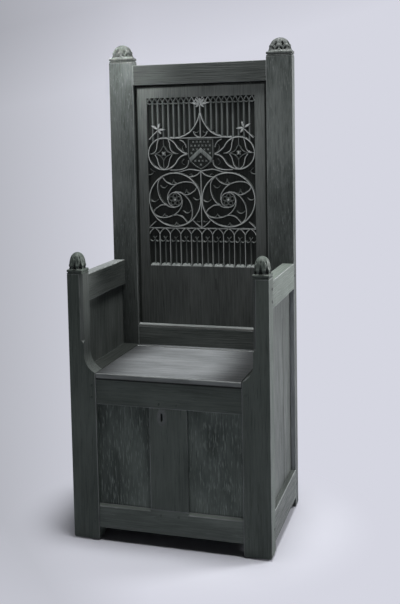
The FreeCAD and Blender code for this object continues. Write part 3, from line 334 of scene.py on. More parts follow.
OAK = OakFinish("dark_waxed_oak", "#292f2b", "#373d39", "#434a45", "#565d58", ray_share=0.5)
# Paler: rubbed arrises, and a painted highlight on ledges, the left arm's top and the middle rail's sill.
OAK_ARRIS = OakFinish("rubbed_oak_arris", "#404443", "#535756", "#6b6f6e", "#808483", ray_share=0.6)
FLECK_OAK = OakFinish("flecked_panel_oak", "#1f2522", "#2f3531", "#3a413d", "#707973", ray=2.8,
                      ray_share=0.75, ray_level=(0.53, 0.66))
# Paler: a scuffed front bottom rail, and painted light on the lit right arm.
SCUFFED_AND_LIT_OAK = OakFinish("scuffed_rail_oak", "#343a36", "#464c48", "#545b56", "#69706b", ray_share=0.5)
# Darker: the back top rail, and painted shade on the left arm's inner face.
DARK_AND_SHADED_OAK = OakFinish("sooty_top_rail_oak", "#212523", "#2d312f", "#383c3a", "#4a4e4c")
PANEL_OAK = OakFinish("dark_panel_oak", "#262a28", "#343836", "#404442", "#545856")
# Back posts, darkened towards the bottom as painted shade.
BACK_OAK = OakFinish("dry_mottled_oak", "#1b201e", "#343937", "#464b49", "#686d6b", streak=4.0,
                     streak_length=34.0, ray=3.4, ray_length=18.0, ray_share=0.6, ray_level=(0.57, 0.7),
                     shaded_below=(560.0, 1250.0))
# Plain board of the back panel: paler as painted light, and darkened towards the bottom as painted shade.
BOARD_OAK = OakFinish("leaned_on_oak", "#343836", "#484c4a", "#585c5a", "#6c706e", shaded_below=(840.0, 1330.0))
FINIAL_OAK = OakFinish("carved_finial_oak", "#242826", "#353937", "#464a48", "#5d615f", patch=25.0)
# Seat, darkened away from an oval about its middle as painted shade.
SEAT_OAK = OakFinish("sat_on_oak", "#4c4f50", "#5c5f60", "#6d7072", "#828587", roughness=(0.5, 0.36),
                     gloss=0.25, worn=(-20.0, -60.0, 210.0, 420.0))
# Pale: painted light on the back post's shaded front face beside the side panel.
LIT_RECESS_OAK = OakFinish("dusty_recess_oak", "#5a5e60", "#707476", "#868a8c", "#989c9e")
# Near-black: painted shade on the seat's side boards and the middle rail's sill chamfer, and a dark board
# joint.
SHADE_AND_JOINT_OAK = OakFinish("greasy_side_board_oak", "#101311", "#171a18", "#1f2220", "#282b29")
# Near-black: painted shade in the carved ground, along the back panel's edges, in the finials' slits and
# under the lid's lip; also dark joints and a crack.
GROUND_OAK = OakFinish("dusty_ground_oak", "#0f1210", "#141715", "#1b1e1c", "#242725", roughness=(0.75, 0.6))
RIB_OAK = OakFinish("cut_tracery_oak", "#3d4240", "#515654", "#666b69", "#7f8482", patch=40.0)
# Tracery tops, rubbed pale and with a painted highlight.
RIB_TOP_OAK = OakFinish("rubbed_tracery_oak", "#6b6f6e", "#848887", "#9fa3a2", "#b8bcbb", patch=40.0)
RAW_OAK = OakFinish("unstained_chest_oak", "#424543", "#535654", "#6c6f6c", "#848783", roughness=(0.8, 0.6))
PEG_OAK = OakFinish("cleft_peg_oak", "#1c1e1d", "#232524", "#343635", "#444645", streak=2.0)
IRON = IronFinish()
WORN_IRON = IronFinish("worn_escutcheon_iron", "#565a58", "#3f4341", metal=0.3)
# Finishes of the panel's surfaces; ledges take the paler arris finish as a painted highlight, and flanks the
# darker panel finish as painted shade.
SURFACE_FINISHES = (BOARD_OAK, GROUND_OAK, RIB_OAK, RIB_TOP_OAK, OAK_ARRIS, PANEL_OAK)


def activate(piece: Piece) -> None:
    """Make one object the only selected and the active one.

    Args:
        piece: The object.
    """
    bpy.ops.object.select_all(action="DESELECT")
    piece.select_set(True)
    bpy.context.view_layer.objects.active = piece


def new_piece(name: str, data: bpy.types.ID) -> Piece:
    """Link a new object at the origin and make it active.

    Args:
        name: Name of the object.
        data: Its mesh, curve, light or camera.

    Returns:
        The object.
    """
    piece = bpy.data.objects.new(name, data)
    bpy.context.scene.collection.objects.link(piece)
    activate(piece)
    return piece


@contextmanager
def editing(piece: Piece) -> Iterator[None]:
    """Keep a piece in edit mode, with all of it selected at first.

    Args:
        piece: Mesh object.
    """
    activate(piece)
    bpy.ops.object.mode_set(mode="EDIT")
    bpy.ops.mesh.select_all(action="SELECT")
    yield
    bpy.ops.object.mode_set(mode="OBJECT")


def cut(axis: Axis, at: float) -> None:
    """Cut all faces of the piece in edit mode square to an axis.

    Args:
        axis: The axis.
        at: Place along it in mm.
    """
    place, normal = Vector(), Vector()
    place[axis] = at * MM
    normal[axis] = 1.0
    bpy.ops.mesh.select_all(action="SELECT")
    bpy.ops.mesh.bisect(plane_co=place, plane_no=normal)


def pick(piece: Piece, element: Element, wanted: Callable[..., bool]) -> None:
    """Select elements of a piece in edit mode.

    Args:
        piece: The piece.
        element: Kind of element.
        wanted: Test of one element.
    """
    bpy.ops.mesh.select_mode(type=element.name)
    bpy.ops.mesh.select_all(action="DESELECT")
    mesh = bmesh.from_edit_mesh(piece.data)
    for part in getattr(mesh, element.value):
        part.select = wanted(part)
    bmesh.update_edit_mesh(piece.data)


def join(pieces: list[Piece]) -> Piece:
    """Join pieces into the first of them.

    Args:
        pieces: Mesh objects.

    Returns:
        The first, which holds all.
    """
    activate(pieces[0])
    for piece in pieces[1:]:
        piece.select_set(True)
    bpy.ops.object.join()
    return pieces[0]


def weld(piece: Piece, gap: float, angle: float) -> None:
    """Close a piece's seams, turn its faces out and smooth it.

    Args:
        piece: Mesh object.
        gap: Largest gap that closes, in mm.
        angle: Largest angle that is smooth, in degrees.
    """
    with editing(piece):
        bpy.ops.mesh.remove_doubles(threshold=gap * MM)
        bpy.ops.mesh.fill_holes(sides=0)
        bpy.ops.mesh.normals_make_consistent(inside=False)
    bpy.ops.object.shade_smooth_by_angle(angle=math.radians(angle))


def block(low: Triple, high: Triple) -> Piece:
    """Add a box between two corners in mm.

    Args:
        low: Corner with the least values.
        high: Corner with the greatest.

    Returns:
        The box, on an object at the origin.
    """
    bpy.ops.mesh.primitive_cube_add(size=1.0)
    piece = bpy.context.object
    with editing(piece):
        bpy.ops.transform.resize(value=[(b - a) * MM for a, b in zip(low, high)])
        bpy.ops.transform.translate(value=[(a + b) / 2 * MM for a, b in zip(low, high)])
    return piece


def box_of(node: str) -> tuple[Vector, Vector]:
    """Give the corners of a node's box in mm."""
    low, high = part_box(node)
    return low / MM, high / MM


def grain_of(node: str) -> Axis:
    """Take the fibres along a node's longest side."""
    low, high = box_of(node)
    return max(Axis, key=lambda axis: high[axis] - low[axis])


def seed_timber(piece: Piece, seed: float) -> None:
    """Give a piece its own stretch of grain."""
    layer = piece.data.attributes.new(SEED_NAME, "FLOAT", "POINT")
    layer.data.foreach_set("value", [seed] * len(piece.data.vertices))


def body_of(node: str) -> str:
    """Name the body that carries a node."""
    bodies = frame["record"]["behaviour"]["bodies"]
    return next(body for body, members in bodies.items() if node in members)


def stand_for(piece: Piece, node: str) -> None:
    """Let a piece ride where a node does, in its place.

    Args:
        piece: Finished piece.
        node: Node of the frame that it stands for.
    """
    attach(piece, body_of(node))
    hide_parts(node)
    LOG.info("%s stands for %s", piece.name, node)


@dataclass(frozen=True)
class Touch:
    """Part of a piece's surface with another finish: a dark joint or crack, a rubbed edge, painted shade or a
    painted highlight.

    The part is inside a box in mm, on faces that look one way if a way is given. Faces are cut along the
    box's sides if the part is scored.
    """

    finish: OakFinish
    low: Triple
    high: Triple
    facing: Triple = (0.0, 0.0, 0.0)
    scored: bool = False
    cosine: float = 0.5

    def covers(self, middle: Vector, normal: Vector) -> bool:
        """Tell whether a face with this middle in mm and this normal is in the part."""
        inside = all(low <= at <= high for low, at, high in zip(self.low, middle, self.high))
        return inside and normal.dot(Vector(self.facing)) >= self.cosine * Vector(self.facing).length

    def score(self) -> None:
        """Cut the faces of the piece in edit mode along the sides of the box."""
        for axis in Axis:
            for corner in (self.low, self.high):
                cut(axis, corner[axis])


@dataclass
class Timber:
    """Sawn oak piece of the frame, with its corners rubbed round by use."""

    node: str
    finish: OakFinish
    slot: Slot
    seed: float
    touches: list[Touch]
    slim: float = 0.0
    worn_foot: float = 0.0
    arris: float = 1.8
    least_edge: float = 14.0
    sharp: float = 35.0
    flat: float = 1.0
    gap: float = 0.01
    foot_levels: tuple[float, ...] = (0.1, 0.25, 0.5, 1.0)

    def build(self) -> Piece:
        """Copy the node's shape, merge it, and round its long corners.

        Returns:
            The finished piece.
        """
        piece = new_piece(f"{self.node}_oak", frame["nodes"][self.node].data.copy())
        mesh = piece.data
        grain = grain_of(self.node)
        finishes = [self.finish, OAK_ARRIS, *[touch.finish for touch in self.touches]]
        mesh.materials.clear()
        for finish in finishes:
            mesh.materials.append(finish.material(grain))
        mesh.polygons.foreach_set("material_index", [0] * len(mesh.polygons))
        with editing(piece):
            bpy.ops.mesh.remove_doubles(threshold=self.gap * MM)
            bpy.ops.mesh.dissolve_limited(angle_limit=math.radians(self.flat))
            shrink = 1 - 2 * self.slim * MM / piece.dimensions.x
            bpy.ops.transform.resize(value=(shrink, 1, 1), center_override=(0, 0, 0))
            pick(piece, Element.EDGE, self.long_corner)
            bpy.ops.mesh.bevel(offset=self.arris * MM, segments=2, affect="EDGES", clamp_overlap=False,
                               material=finishes.index(OAK_ARRIS))
            if self.worn_foot:
                self.wear_foot(piece)
            for touch in self.touches:
                if touch.scored:
                    touch.score()
        for number, touch in enumerate(self.touches, len(finishes) - len(self.touches)):
            for polygon in mesh.polygons:
                if touch.covers(polygon.center / MM, polygon.normal):
                    polygon.material_index = number
        seed_timber(piece, self.seed)
        stand_for(piece, self.node)
        return piece

    def long_corner(self, edge: bmesh.types.BMEdge) -> bool:
        """Tell whether an edge is a long outer corner."""
        square = edge.is_manifold and edge.is_convex and edge.calc_face_angle() > math.radians(self.sharp)
        return square and edge.calc_length() > self.least_edge * MM

    def wear_foot(self, piece: Piece) -> None:
        """Round a post's end over the floor in edit mode.

        Args:
            piece: The post.
        """
        for level in self.foot_levels:
            cut(Axis.UPRIGHT, level * self.worn_foot)
        radius = self.worn_foot * MM
        mesh = bmesh.from_edit_mesh(piece.data)
        foot = [vertex for vertex in mesh.verts if vertex.co.z < radius]
        middle = sum((vertex.co for vertex in foot), Vector()) / len(foot)
        for vertex in foot:
            drop = 1 - max(vertex.co.z, 0.0) / radius
            tuck = radius * (1 - math.sqrt(1 - drop ** 2))
            for axis in (Axis.ACROSS, Axis.DEEP):
                vertex.co[axis] -= math.copysign(tuck, vertex.co[axis] - middle[axis])
        bmesh.update_edit_mesh(piece.data)


def arc(centre: Point, radius: float, start: float, end: float, step: float = 7.0) -> Path:
    """Path along a circle.

    Args:
        centre: Middle of the circle.
        radius: Its radius.
        start: First angle in degrees.
        end: Last angle in degrees.
        step: Largest angle between points.

    Returns:
        Points of the path.
    """
    count = max(2, math.ceil(abs(end - start) / step))
    angles = [math.radians(start + (end - start) * k / count) for k in range(count + 1)]
    return [(centre[0] + radius * math.cos(a), centre[1] + radius * math.sin(a)) for a in angles]


def bend(start: Point, middle: Point, end: Point, count: int = 14) -> Path:
    """Path along a parabola that passes a middle point halfway.

    Args:
        start: First point.
        middle: Point halfway.
        end: Last point.
        count: Number of pieces.

    Returns:
        Points of the path.
    """
    path = []
    for k in range(count + 1):
        t = k / count
        weights = (2 * (t - 0.5) * (t - 1), 4 * t * (1 - t), 2 * t * (t - 0.5))
        path.append(tuple(sum(w * p[i] for w, p in zip(weights, (start, middle, end))) for i in (0, 1)))
    return path


def flow(*points: Point, steps: int = 6) -> Path:
    """Smooth path through points.

    Args:
        points: Points on the path, in order.
        steps: Pieces between one point and the next.

    Returns:
        Points of the path.
    """
    ends = [points[0], *points, points[-1]]
    path = []
    for near in zip(ends, ends[1:], ends[2:], ends[3:]):
        for k in range(steps):
            t = k / steps
            weights = (2 * t ** 2 - t - t ** 3, 2 - 5 * t ** 2 + 3 * t ** 3,
                       t + 4 * t ** 2 - 3 * t ** 3, t ** 3 - t ** 2)
            path.append(tuple(sum(w * p[i] for w, p in zip(weights, near)) / 2 for i in (0, 1)))
    return path + [points[-1]]


def both(paths: list[Path]) -> list[Path]:
    """Paths with their mirror twins on the other side of the chair."""
    return paths + [[(-x, z) for x, z in path] for path in paths]


def placed(paths: list[Path], centre: Point, scale: float, quarters: int = 0) -> list[Path]:
    """Paths in shares of a wheel, turned by quarter turns and set on its centre.

    Args:
        paths: Paths about the origin.
        centre: Middle of the wheel.
        scale: Its radius.
        quarters: Number of quarter turns.

    Returns:
        The paths in the panel's plane.
    """
    for _ in range(quarters):
        paths = [[(-z, x) for x, z in path] for path in paths]
    return [[(centre[0] + x * scale, centre[1] + z * scale) for x, z in path] for path in paths]


def leaf(centre: Point, size: float, lobes: int, lean: float, depth: float) -> Path:
    """Outline of a lobed leaf or flower.

    Args:
        centre: Middle of the leaf.
        size: Reach of its lobes.
        lobes: Number of lobes.
        lean: Direction of the first lobe in degrees.
        depth: Share of the reach cut in between the lobes.

    Returns:
        Closed outline.
    """
    count = LOBE_STEPS * lobes
    outline = []
    for k in range(count):
        angle = 2 * math.pi * k / count
        reach = size * (1 - depth + depth * math.cos(lobes * angle))
        turn = angle + math.radians(lean)
        outline.append((centre[0] + reach * math.cos(turn), centre[1] + reach * math.sin(turn)))
    return outline


def blade(foot: Point, tip: Point, width: float) -> Path:
    """Outline of a pointed leaf.

    Args:
        foot: Where the leaf grows.
        tip: Its point.
        width: Its width halfway.

    Returns:
        Closed outline.
    """
    along = (tip[0] - foot[0], tip[1] - foot[1])
    half = width / 2 / math.hypot(*along)
    middle = ((foot[0] + tip[0]) / 2, (foot[1] + tip[1]) / 2)
    left, right = ((middle[0] - turn * along[1], middle[1] + turn * along[0]) for turn in (half, -half))
    return bend(foot, left, tip, BLADE_STEPS)[:-1] + bend(tip, right, foot, BLADE_STEPS)[:-1]


@dataclass(frozen=True)
class Rib:
    """Section of a carved rib: a narrow fillet on hollow sides."""

    root: float
    top: float
    height: float
    waist: Point = (0.28, 0.45)
    fillet: float = 0.86

    def profile(self) -> Path:
        """Outline of the section, across and up.

        Returns:
            Closed outline, from the left root to the right one.
        """
        half, tip = self.root / 2, self.top / 2
        waist = (tip + self.waist[0] * (half - tip), self.waist[1] * self.height)
        right = [(half, 0.0), waist, (tip, self.fillet * self.height), (tip, self.height)]
        return [(-x, z) for x, z in right] + right[::-1]


@dataclass(frozen=True)
class Reed:
    """Section of a half-round shaft."""

    root: float
    height: float
    facets: int = 7

    def profile(self) -> Path:
        """Outline of the section, across and up."""
        angles = [math.pi * (1 - k / self.facets) for k in range(self.facets + 1)]
        return [(self.root / 2 * math.cos(a), self.height * math.sin(a)) for a in angles]


def plane_curve(name: str, paths: list[Path], closed: bool) -> Piece:
    """Draw paths in millimetres as one flat curve.

    Args:
        name: Name of the curve.
        paths: Points of each path.
        closed: True where each path ends where it starts.

    Returns:
        The curve's object.
    """
    curve = bpy.data.curves.new(name, "CURVE")
    curve.dimensions = "2D"
    for path in paths:
        spline = curve.splines.new("POLY")
        spline.points.add(len(path) - 1)
        for point, (x, z) in zip(spline.points, path):
            point.co = (x * MM, z * MM, 0.0, 1.0)
        spline.use_cyclic_u = closed
    return new_piece(name, curve)


@dataclass
class CarvedPanel:
    """Tall back panel: plain below, and above it a sunk field of flamboyant tracery.

    The tracery is drawn flat, across and up, in mm from the middle of the chair's foot.
    """

    node: str = "carved_back_panel"
    half_width: float = 190.0
    sill: float = 821.0
    head: float = 1403.0
    sunk: float = 11.0
    plain_half: float = 232.5
    plain_z: Point = (616.5, 1447.5)
    thick: float = 22.0
    tongue: Point = (3.0, 11.0)
    bay: float = 38.0
    bays: int = 10
    bar_z: float = 953.0
    wheel_z: float = 1051.5
    wheel_radius: float = 92.5
    hub_radius: float = 25.0
    roundel: Point = (133.0, 1210.5)
    roundel_radius: float = 54.5
    roundel_point: float = 48.0
    roundel_open: float = 156.0
    ogee: Point = (110.2, 1380.7)
    ogee_radius: float = 116.7
    ogee_bar: float = 1264.0
    spring: float = 932.0
    shaft_head: float = 1387.0
    groove: Point = (9.0, 2.6)
    shield_half: float = 46.0
    shield_tip: float = 1154.0
    stud_step: float = 13.0
    leaf_width: float = 8.0
    crack: tuple[Point, Point] = ((46.0, 48.5), (742.0, 780.0))
    flat: float = 0.9
    sloped: float = 0.5
    ledge: float = 0.75
    steep: float = 0.45
    ground_skin: float = 0.3
    shield_depth: float = 3.0
    # Front rib tops shallower than this are rubbed pale with a painted highlight.
    rubbed_and_lit_depth: float = 1.9
    # Height under the shafts' heads above which rib tops keep the darker rib finish.
    dim_head: float = 7.0
    fleuron_half: float = 30.4
    hook_taper: float = 0.4
    gap: float = 0.02
    smooth: float = 35.0
    seed: float = 3.0
    rib: Rib = Rib(root=8.0, top=2.9, height=10.0)
    fine: Rib = Rib(root=5.4, top=2.1, height=9.6)
    hair: Rib = Rib(root=3.6, top=1.6, height=9.0)
    crisp: Rib = Rib(root=4.6, top=2.4, height=10.9)
    border: Rib = Rib(root=4.0, top=2.0, height=8.6)
    shaft: Reed = Reed(root=9.0, height=8.5)
    slim_shaft: Reed = Reed(root=5.0, height=6.5)
    face: float = 0.0
    parts: list[Piece] = field(default_factory=list)

    def build(self) -> Piece:
        """Make the board, carve its tracery and dress both as one piece.

        Returns:
            The finished panel.
        """
        self.face = box_of(self.node)[0].y
        for storey in (self.head_storey, self.crockets, self.roundels, self.shield, self.wheels,
                       self.spandrels, self.arcade, self.sills):
            storey()
        relief = join(self.parts)
        ground = (self.face + self.sunk) * MM
        relief.data.transform(Matrix(((1, 0, 0, 0), (0, 0, -1, ground), (0, 1, 0, 0), (0, 0, 0, 1))))
        panel = join([self.board(), relief])
        weld(panel, self.gap, self.smooth)
        self.dress(panel)
        stand_for(panel, self.node)
        return panel

    def sweep(self, section: Rib | Reed, paths: list[Path], closed: bool = False, taper: float = 1.0) -> None:
        """Sweep a section along paths and keep it for joining.

        Args:
            section: Section of the rib.
            paths: Paths in the panel's plane.
            closed: True for rings.
            taper: Share of the section that is left at the end of each path.
        """
        profile = plane_curve("section", [section.profile()], True)
        ribs = plane_curve("rib", paths, closed)
        for spline in ribs.data.splines:
            last = len(spline.points) - 1
            for k, point in enumerate(spline.points):
                point.radius = 1 + (taper - 1) * k / last
        ribs.data.bevel_mode = "OBJECT"
        ribs.data.bevel_object = profile
        ribs.data.use_fill_caps = True
        bpy.ops.object.convert(target="MESH")
        bpy.data.objects.remove(profile)
        self.parts.append(ribs)

    def plaque(self, outlines: list[Path], lower: float, round_over: float) -> None:
        """Cut flat shapes with rounded edges and keep them for joining.

        Args:
            outlines: Closed outlines in the panel's plane.
            lower: Depth of their tops below the board's face.
            round_over: Radius of the edges.
        """
        thick = self.sunk - lower
        shape = plane_curve("plaque", outlines, True)
        shape.data.fill_mode = "BOTH"
        shape.data.extrude = (thick / 2 - round_over) * MM
        shape.data.bevel_depth = round_over * MM
        shape.data.bevel_resolution = 2
        shape.data.offset = -round_over * MM
        bpy.ops.object.convert(target="MESH")
        shape.data.transform(Matrix.Translation((0.0, 0.0, thick / 2 * MM)))
        self.parts.append(shape)

    def ogee_height(self, x: float) -> float:
        """Height of what stands under a shaft of the head storey.

        Args:
            x: Place of the shaft.

        Returns:
            Height of the ogee or the roundel there.
        """
        across = abs(x)
        if across < self.ogee[0]:
            return self.ogee[1] - math.sqrt(self.ogee_radius ** 2 - (self.ogee[0] - across) ** 2)
        reach = self.roundel_radius ** 2 - (across - self.roundel[0]) ** 2
        return self.roundel[1] + math.sqrt(max(reach, 0.0))

    def head_storey(self) -> None:
        """Row of slender shafts over the ogee, with pointed and cusped heads."""
        light = self.bay / 2
        foot, bar, reach = self.shaft_head, self.ogee_bar, self.ogee[0]
        cusp_dip = foot - 5
        shafts, heads, cusps = [], [], []
        for k in range(2 * self.bays):
            left = -self.half_width + k * light
            middle, right = left + light / 2, left + light
            if k:
                shafts.append([(left, foot), (left, self.ogee_height(left))])
            heads += [[(x, foot), (middle, self.head)] for x in (left, right)]
            cusps.append(bend((left, foot), (middle, cusp_dip), (right, foot), HOOK_STEPS))
        self.sweep(self.shaft, shafts)
        self.sweep(self.crisp, heads)
        self.sweep(self.crisp, cusps)
        ogee = flow((reach, bar + 1), (84, bar + 1), (61, bar + 7), (40, bar + 18), (25, bar + 33),
                    (12.5, bar + 52), (5, bar + 70), (2, bar + 84))
        self.sweep(self.rib, both([ogee]))
        self.sweep(self.fine, [[(-reach, bar), (reach, bar)]])
        self.sweep(self.fine, [[(0, bar), (0, bar + 78)]])
        self.sweep(self.rib, [[(0, bar + 76), (0, bar + 112)]])
        trefoil = bend((0, bar), (16, bar + 7), (25, bar + 22))
        hook = bend((21, bar + 19), (12, bar + 18), (8, bar + 24), HOOK_STEPS)
        self.sweep(self.fine, both([trefoil]))
        self.sweep(self.hair, both([hook]), taper=self.hook_taper)

    def crockets(self) -> None:
        """Fleuron on the ogee's tip and a leaf spray over each roundel."""
        side, bar = self.half_width, self.ogee_bar
        fleuron, spray = (0.0, bar + 116), (side - 37, bar + 31)
        fans = ((fleuron, ((17.0, 17.0), (26.0, 0.0), (16.0, -13.0))),
                (spray, ((-9.0, 22.0), (23.0, 14.0), (-28.0, -2.0), (-14.0, -17.0))))
        leaves = [blade(root, (root[0] + out, root[1] + rise), self.leaf_width)
                  for root, fan in fans for out, rise in fan]
        leaves = both(leaves) + [blade(fleuron, (0.0, self.head - 2), self.leaf_width)]
        top, step = 0.1, 0.15
        for number, outline in enumerate(leaves):
            self.plaque([outline], lower=top + step * (number % 4), round_over=1.1)
        stem = bend((side - 6, bar - 3), (side - 20, bar + 11), (side - 37, bar + 27))
        self.sweep(self.rib, both([stem]))

    def roundels(self) -> None:
        """Two upper roundels, each drawn out to a point at the shield, with a hollow-sided star."""
        cx, cz = self.roundel
        radius, opening = self.roundel_radius, self.roundel_open
        rims = [arc(self.roundel, radius, -opening, opening)]
        for rise in (-1, 1):
            shoulder = arc(self.roundel, radius, rise * opening, rise * (opening + 1))[0]
            rims.append(bend(shoulder, (cx - radius - 11, cz + rise * 8), (self.roundel_point, cz - 3)))
        petals = [
            flow((-0.80, 0.0), (-0.56, 0.14), (-0.45, 0.38), (-0.41, 0.65), (-0.33, 0.9)),
            flow((-0.57, -0.06), (-0.43, -0.29), (-0.36, -0.56), (-0.28, -0.79), (-0.13, -0.94),
                 (0.0, -0.99)),
        ]
        star = [flow((0.0, 0.52), (0.1, 0.38), (0.19, 0.22), (0.34, 0.09), (0.6, 0.0)),
                bend((0.0, -0.48), (0.18, -0.17), (0.6, 0.0))]
        stems = [[(0.6, 0.0), (0.97, 0.0)], [(-0.6, 0.0), (-0.97, 0.0)], [(0.0, 0.5), (0.0, 0.98)],
                 [(0.0, -0.48), (0.0, -0.98)]]
        self.sweep(self.rib, both(rims))
        self.sweep(self.fine, both(placed(both(petals), self.roundel, radius)))
        self.sweep(self.hair, both(placed(both(star) + stems, self.roundel, radius)))
        middles = ((-cx, cz), (cx, cz))
        bosses = [leaf(middle, size=9.5, lobes=4, lean=45.0, depth=0.22) for middle in middles]
        buttons = [leaf(middle, size=3.6, lobes=8, lean=0.0, depth=0.02) for middle in middles]
        self.plaque(bosses, lower=2.0, round_over=2.4)
        self.plaque(buttons, lower=0.2, round_over=1.6)

    def shield_outline(self, shrink: float) -> Path:
        """Outline of the heater shield.

        Args:
            shrink: Margin that it is drawn in by.

        Returns:
            Closed outline.
        """
        half = self.shield_half - shrink
        top, waist = self.ogee_bar - 2 - shrink, self.ogee_bar - 58
        flank = (0.74 * half, self.shield_tip + 24 + 0.9 * shrink)
        right = bend((half, waist), flank, (0, self.shield_tip + 1.25 * shrink), 10)
        left = [(-x, z) for x, z in right[::-1]]
        return [(-half, top), (half, top)] + right + left[1:]

    def shield(self) -> None:
        """Heater shield with a raised border, a plain chevron and studs."""
        self.plaque([self.shield_outline(shrink=0.0)], lower=4.0, round_over=1.2)
        self.sweep(self.border, [self.shield_outline(shrink=3.0)], closed=True)
        half, step, bar = self.shield_half - 7, self.stud_step, self.ogee_bar
        low, peak, band = bar - 68.0, bar - 34.0, 17.0
        chevron = [(-half, low), (0, peak), (half, low),
                   (half, low - band), (0, peak - band), (-half, low - band)]
        self.plaque([chevron], lower=2.0, round_over=1.4)
        rows, columns = range(7), range(-3, 4)
        first_row, narrowing, margin = bar - 14, bar - 62, 5
        studs = []
        for row in rows:
            for column in columns:
                x, z = step * (column + row % 2 / 2), first_row - step * row
                reach = half - 4 - 0.9 * max(0.0, narrowing - z)
                band_middle = peak - band / 2 - (peak - low) * abs(x) / half
                if abs(x) < reach and abs(z - band_middle) > band / 2 + margin:
                    studs.append(leaf((x, z), size=4.6, lobes=4, lean=45.0, depth=0.3))
        self.plaque(studs, lower=2.6, round_over=1.0)

    def wheels(self) -> None:
        """Two great wheels of whirling mouchettes about a rosette."""
        spiral = flow((-0.48, 0.86), (-0.63, 0.70), (-0.67, 0.47), (-0.65, 0.27), (-0.58, 0.07),
                      (-0.47, -0.09), (-0.35, -0.19), (-0.2, -0.27), (0.0, -0.29), steps=4)
        short_link = flow((-0.48, 0.86), (-0.36, 0.71), (-0.27, 0.637), (-0.14, 0.58), (0.0, 0.57),
                          (0.12, 0.6))
        long_link = flow((-0.48, 0.86), (-0.35, 0.78), (-0.28, 0.68), (-0.21, 0.565), (-0.19, 0.434),
                         (-0.215, 0.30))
        smiles = ((-0.82, -0.06, 0.16), (0.85, 0.01, 0.14), (-0.43, 0.46, 0.13), (0.46, -0.48, 0.15))
        spikes = ((-0.04, 0.58, 0.2), (0.45, 0.21, 0.19), (-0.43, -0.66, 0.14), (0.03, -0.98, 0.14))
        thorns = [bend((x - wide, z + 0.08), (x, z - 0.02), (x + wide, z + 0.08), 8) for x, z, wide in smiles]
        thorns += [bend((x + side * 0.1, z + 0.02), (x + side * 0.03, z + 0.08), (x, z + tall), 5)
                   for x, z, tall in spikes for side in (-1, 1)]
        radius, hub = self.wheel_radius, self.hub_radius
        rims, hubs, spirals, cusps, petals, buttons = [], [], [], [], [], []
        for x in (-self.half_width / 2, self.half_width / 2):
            centre = (x, self.wheel_z)
            rims.append(arc(centre, radius, 0, 353))
            hubs.append(arc(centre, hub, 0, 350, 10.0))
            for quarter in range(4):
                link = long_link if quarter % 2 else short_link
                spirals += placed([spiral, link], centre, radius, quarter)
            cusps += placed(thorns, centre, radius)
            for spot in arc(centre, 0.55 * hub, 90, 378, 72.0):
                petals.append(arc(spot, 0.28 * hub, 0, 330, 30.0))
            buttons.append(leaf(centre, size=5.0, lobes=5, lean=90.0, depth=0.05))
        self.sweep(self.rib, rims, closed=True)
        self.sweep(self.fine, hubs, closed=True)
        self.sweep(self.fine, spirals)
        self.sweep(self.hair, cusps)
        self.sweep(self.hair, petals, closed=True)
        self.plaque(buttons, lower=1.0, round_over=2.0)

    def spandrels(self) -> None:
        """Stems, bands and small cusps that fill between the circles."""
        tip, bar, side = self.shield_tip, self.bar_z, self.half_width
        bands = [
            flow((0, tip - 4), (14, tip - 16), (28, tip - 22), (46, tip - 24)),
            flow((0, tip - 4), (20, tip), (40, tip + 2), (58, tip - 1), (76, tip - 7), (95, tip - 9)),
            flow((74, tip + 104), (62, tip + 98), (54, tip + 88), (51, tip + 77)),
            bend((self.shield_half - 2, tip + 34), (58, tip + 6), (112, tip + 1)),
            bend((0, bar + 2), (14, bar + 11), (31, bar + 28)),
            [(side, bar + 2), (side - 24, bar + 24)],
        ]
        hooks = [
            ((30, tip - 20), (36, tip - 14), (44, tip - 18)),
            ((4, bar + 26), (12, bar + 22), (19, bar + 26)),
            ((side, tip - 16), (side - 14, tip - 12), (side - 17, tip - 2)),
            ((60, tip + 64), (66, tip + 78), (58, tip + 88)),
            ((60, tip + 38), (68, tip + 26), (60, tip + 18)),
            ((side - 8, tip + 6), (side - 16, tip - 2), (side - 24, tip - 6)),
        ]
        self.sweep(self.fine, [[(0, bar), (0, tip)]])
        self.sweep(self.fine, both(bands))
        self.sweep(self.hair, both([bend(*hook, HOOK_STEPS) for hook in hooks]), taper=self.hook_taper)

    def arcade(self) -> None:
        """Lower row of pointed bays with pairs of small cusped lights."""
        arches, mullions, shafts, cusps = [], [], [], []
        light, spring = self.bay / 2, self.spring
        haunch, haunch_z = 0.4 * light, spring + 0.6 * (self.bar_z - spring)
        shaft_top, cusp_foot, cusp_dip = spring - 25, spring - 19, spring - 26
        dart, dart_foot, dart_tip = 6, spring - 8, spring - 16
        for k in range(self.bays):
            left = -self.half_width + k * self.bay
            middle, right = left + light, left + self.bay
            if k:
                mullions.append([(left, self.sill), (left, spring)])
            for foot, out in ((left, haunch), (right, -haunch)):
                arches.append(bend((foot, spring), (foot + out, haunch_z), (middle, self.bar_z), ARCH_STEPS))
            shafts.append([(middle, self.sill), (middle, shaft_top)])
            for x in (left, middle):
                cusps.append(bend((x + 1, cusp_foot), (x + light / 2, cusp_dip), (x + light - 1, cusp_foot),
                                  HOOK_STEPS))
            cusps.append([(middle - dart, dart_foot), (middle, dart_tip), (middle + dart, dart_foot)])
        self.sweep(self.fine, [[(-self.half_width, self.bar_z), (self.half_width, self.bar_z)]])
        self.sweep(self.fine, arches)
        self.sweep(self.fine, mullions)
        self.sweep(self.slim_shaft, shafts)
        self.sweep(self.hair, cusps)

